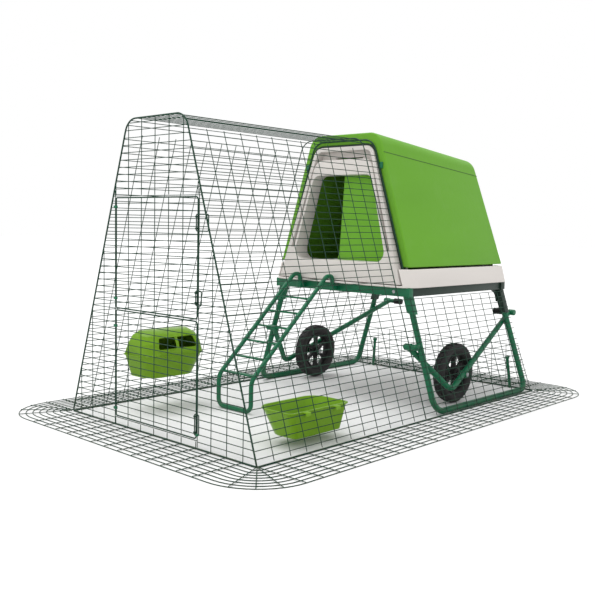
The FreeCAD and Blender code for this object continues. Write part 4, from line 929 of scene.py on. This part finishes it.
def cover_half_width(z):
    """Half-width of the cover's side planes at a height."""
    return 0.547 - 0.318 * z


class COOP_OT_ladder(CoopPiece, bpy.types.Operator):
    """The ladder: one bent rail, its rungs and the sockets it hangs in"""
    bl_idname = "coop.ladder"
    bl_label = "Ladder"

    def build(self):
        s = self.sizes
        softened("ladder_hooks", ["ladder_rails"], "tube", 0.0008, 2, 45.0, 50.0)
        softened("ladder_treads", ["ladder_rungs"], "tube", 0.0015)
        softened("ladder_holders", ["ladder_sockets"], "tube", 0.001, 2)


class COOP_OT_feeders(CoopPiece, bpy.types.Operator):
    """The hooked tray, the bowl and its hood"""
    bl_idname = "coop.feeders"
    bl_label = "Feeders"

    def build(self):
        softened("tray", ["feed_tray"], "feeder", 0.0012, 3, 50.0, 45.0)
        softened("bowl", ["feeder_bowl"], "feeder", 0.0012, 3, 50.0, 45.0)
        softened("hood", ["feeder_hood"], "feeder", 0.0010, 3, 50.0, 45.0)


class COOP_OT_stage(CoopPiece, bpy.types.Operator):
    """Pale floor, soft studio light and the camera"""
    bl_idname = "coop.stage"
    bl_label = "Stage"

    def build(self):
        scene = bpy.context.scene
        mesh = bpy.data.meshes.new("floor")
        bm = bmesh.new()
        bmesh.ops.create_grid(bm, x_segments=1, y_segments=1, size=30.0)
        bm.to_mesh(mesh)
        bm.free()
        material = Finish("Pale floor")
        material.set(Base_Color=(*FLOOR_GREY, 1.0), Roughness=0.95, Specular_IOR_Level=0.0)
        mesh.materials.append(material.material)
        floor = bpy.data.objects.new("floor", mesh)
        floor.location.z = -0.0005
        scene.collection.objects.link(floor)
        world = bpy.data.worlds.new("Studio")
        world.use_nodes = True
        background = world.node_tree.nodes["Background"]
        background.inputs["Color"].default_value = (1.0, 1.0, 1.0, 1.0)
        background.inputs["Strength"].default_value = 1.0
        scene.world = world
        for name, towards, spread, strength in SUNS:
            lamp = bpy.data.lights.new(name, "SUN")
            lamp.energy, lamp.angle = strength, math.radians(spread)
            made = bpy.data.objects.new(name, lamp)
            made.rotation_euler = Vector(towards).to_track_quat("-Z", "Y").to_euler()
            scene.collection.objects.link(made)
        camera = bpy.data.objects.new("Camera", bpy.data.cameras.new("Camera"))
        camera.data.lens = CAMERA_LENS
        camera.data.clip_end = 100.0
        scene.collection.objects.link(camera)
        a, p, roll = (math.radians(v) for v in (CAMERA_AZIMUTH, CAMERA_PITCH, CAMERA_ROLL))
        forward = Vector((-math.sin(a) * math.cos(p), math.cos(a) * math.cos(p), -math.sin(p)))
        right = Vector((math.cos(a), math.sin(a), 0.0))
        up = right.cross(forward)
        side = right * math.cos(roll) + up * math.sin(roll)
        top = up * math.cos(roll) - right * math.sin(roll)
        turn = Matrix((side, top, -forward)).transposed().to_4x4()
        camera.matrix_world = Matrix.Translation(CAMERA_PLACE) @ turn
        scene.camera = camera
        scene.view_settings.view_transform = "Standard"


OPERATORS = (COOP_OT_mesh, COOP_OT_skirt, COOP_OT_doors, COOP_OT_stand, COOP_OT_arms, COOP_OT_wheels,
             COOP_OT_house, COOP_OT_ladder, COOP_OT_feeders, COOP_OT_stage)


class COOP_PT_panel(bpy.types.Panel):
    """Sizes, colours and the steps that build the coop"""
    bl_idname = "COOP_PT_panel"
    bl_label = "Chicken Coop"
    bl_space_type = "VIEW_3D"
    bl_region_type = "UI"
    bl_category = "Coop"

    def draw(self, context):
        layout = self.layout
        for group in (context.scene.coop_sizes, context.scene.coop_colours):
            column = layout.column(align=True)
            for key in group.bl_rna.properties.keys():
                if key not in ("rna_type", "name"):
                    column.prop(group, key)
        for operator in OPERATORS:
            layout.operator(operator.bl_idname)


CLASSES = (CoopSizes, CoopColours, *OPERATORS, COOP_PT_panel)


def register():
    for cls in CLASSES:
        bpy.utils.register_class(cls)
    bpy.types.Scene.coop_sizes = PointerProperty(type=CoopSizes)
    bpy.types.Scene.coop_colours = PointerProperty(type=CoopColours)


def unregister():
    del bpy.types.Scene.coop_colours
    del bpy.types.Scene.coop_sizes
    for cls in reversed(CLASSES):
        bpy.utils.unregister_class(cls)


def main():
    register()
    for operator in OPERATORS:
        group, name = operator.bl_idname.split(".")
        getattr(getattr(bpy.ops, group), name)()


if __name__ == "__main__":
    main()
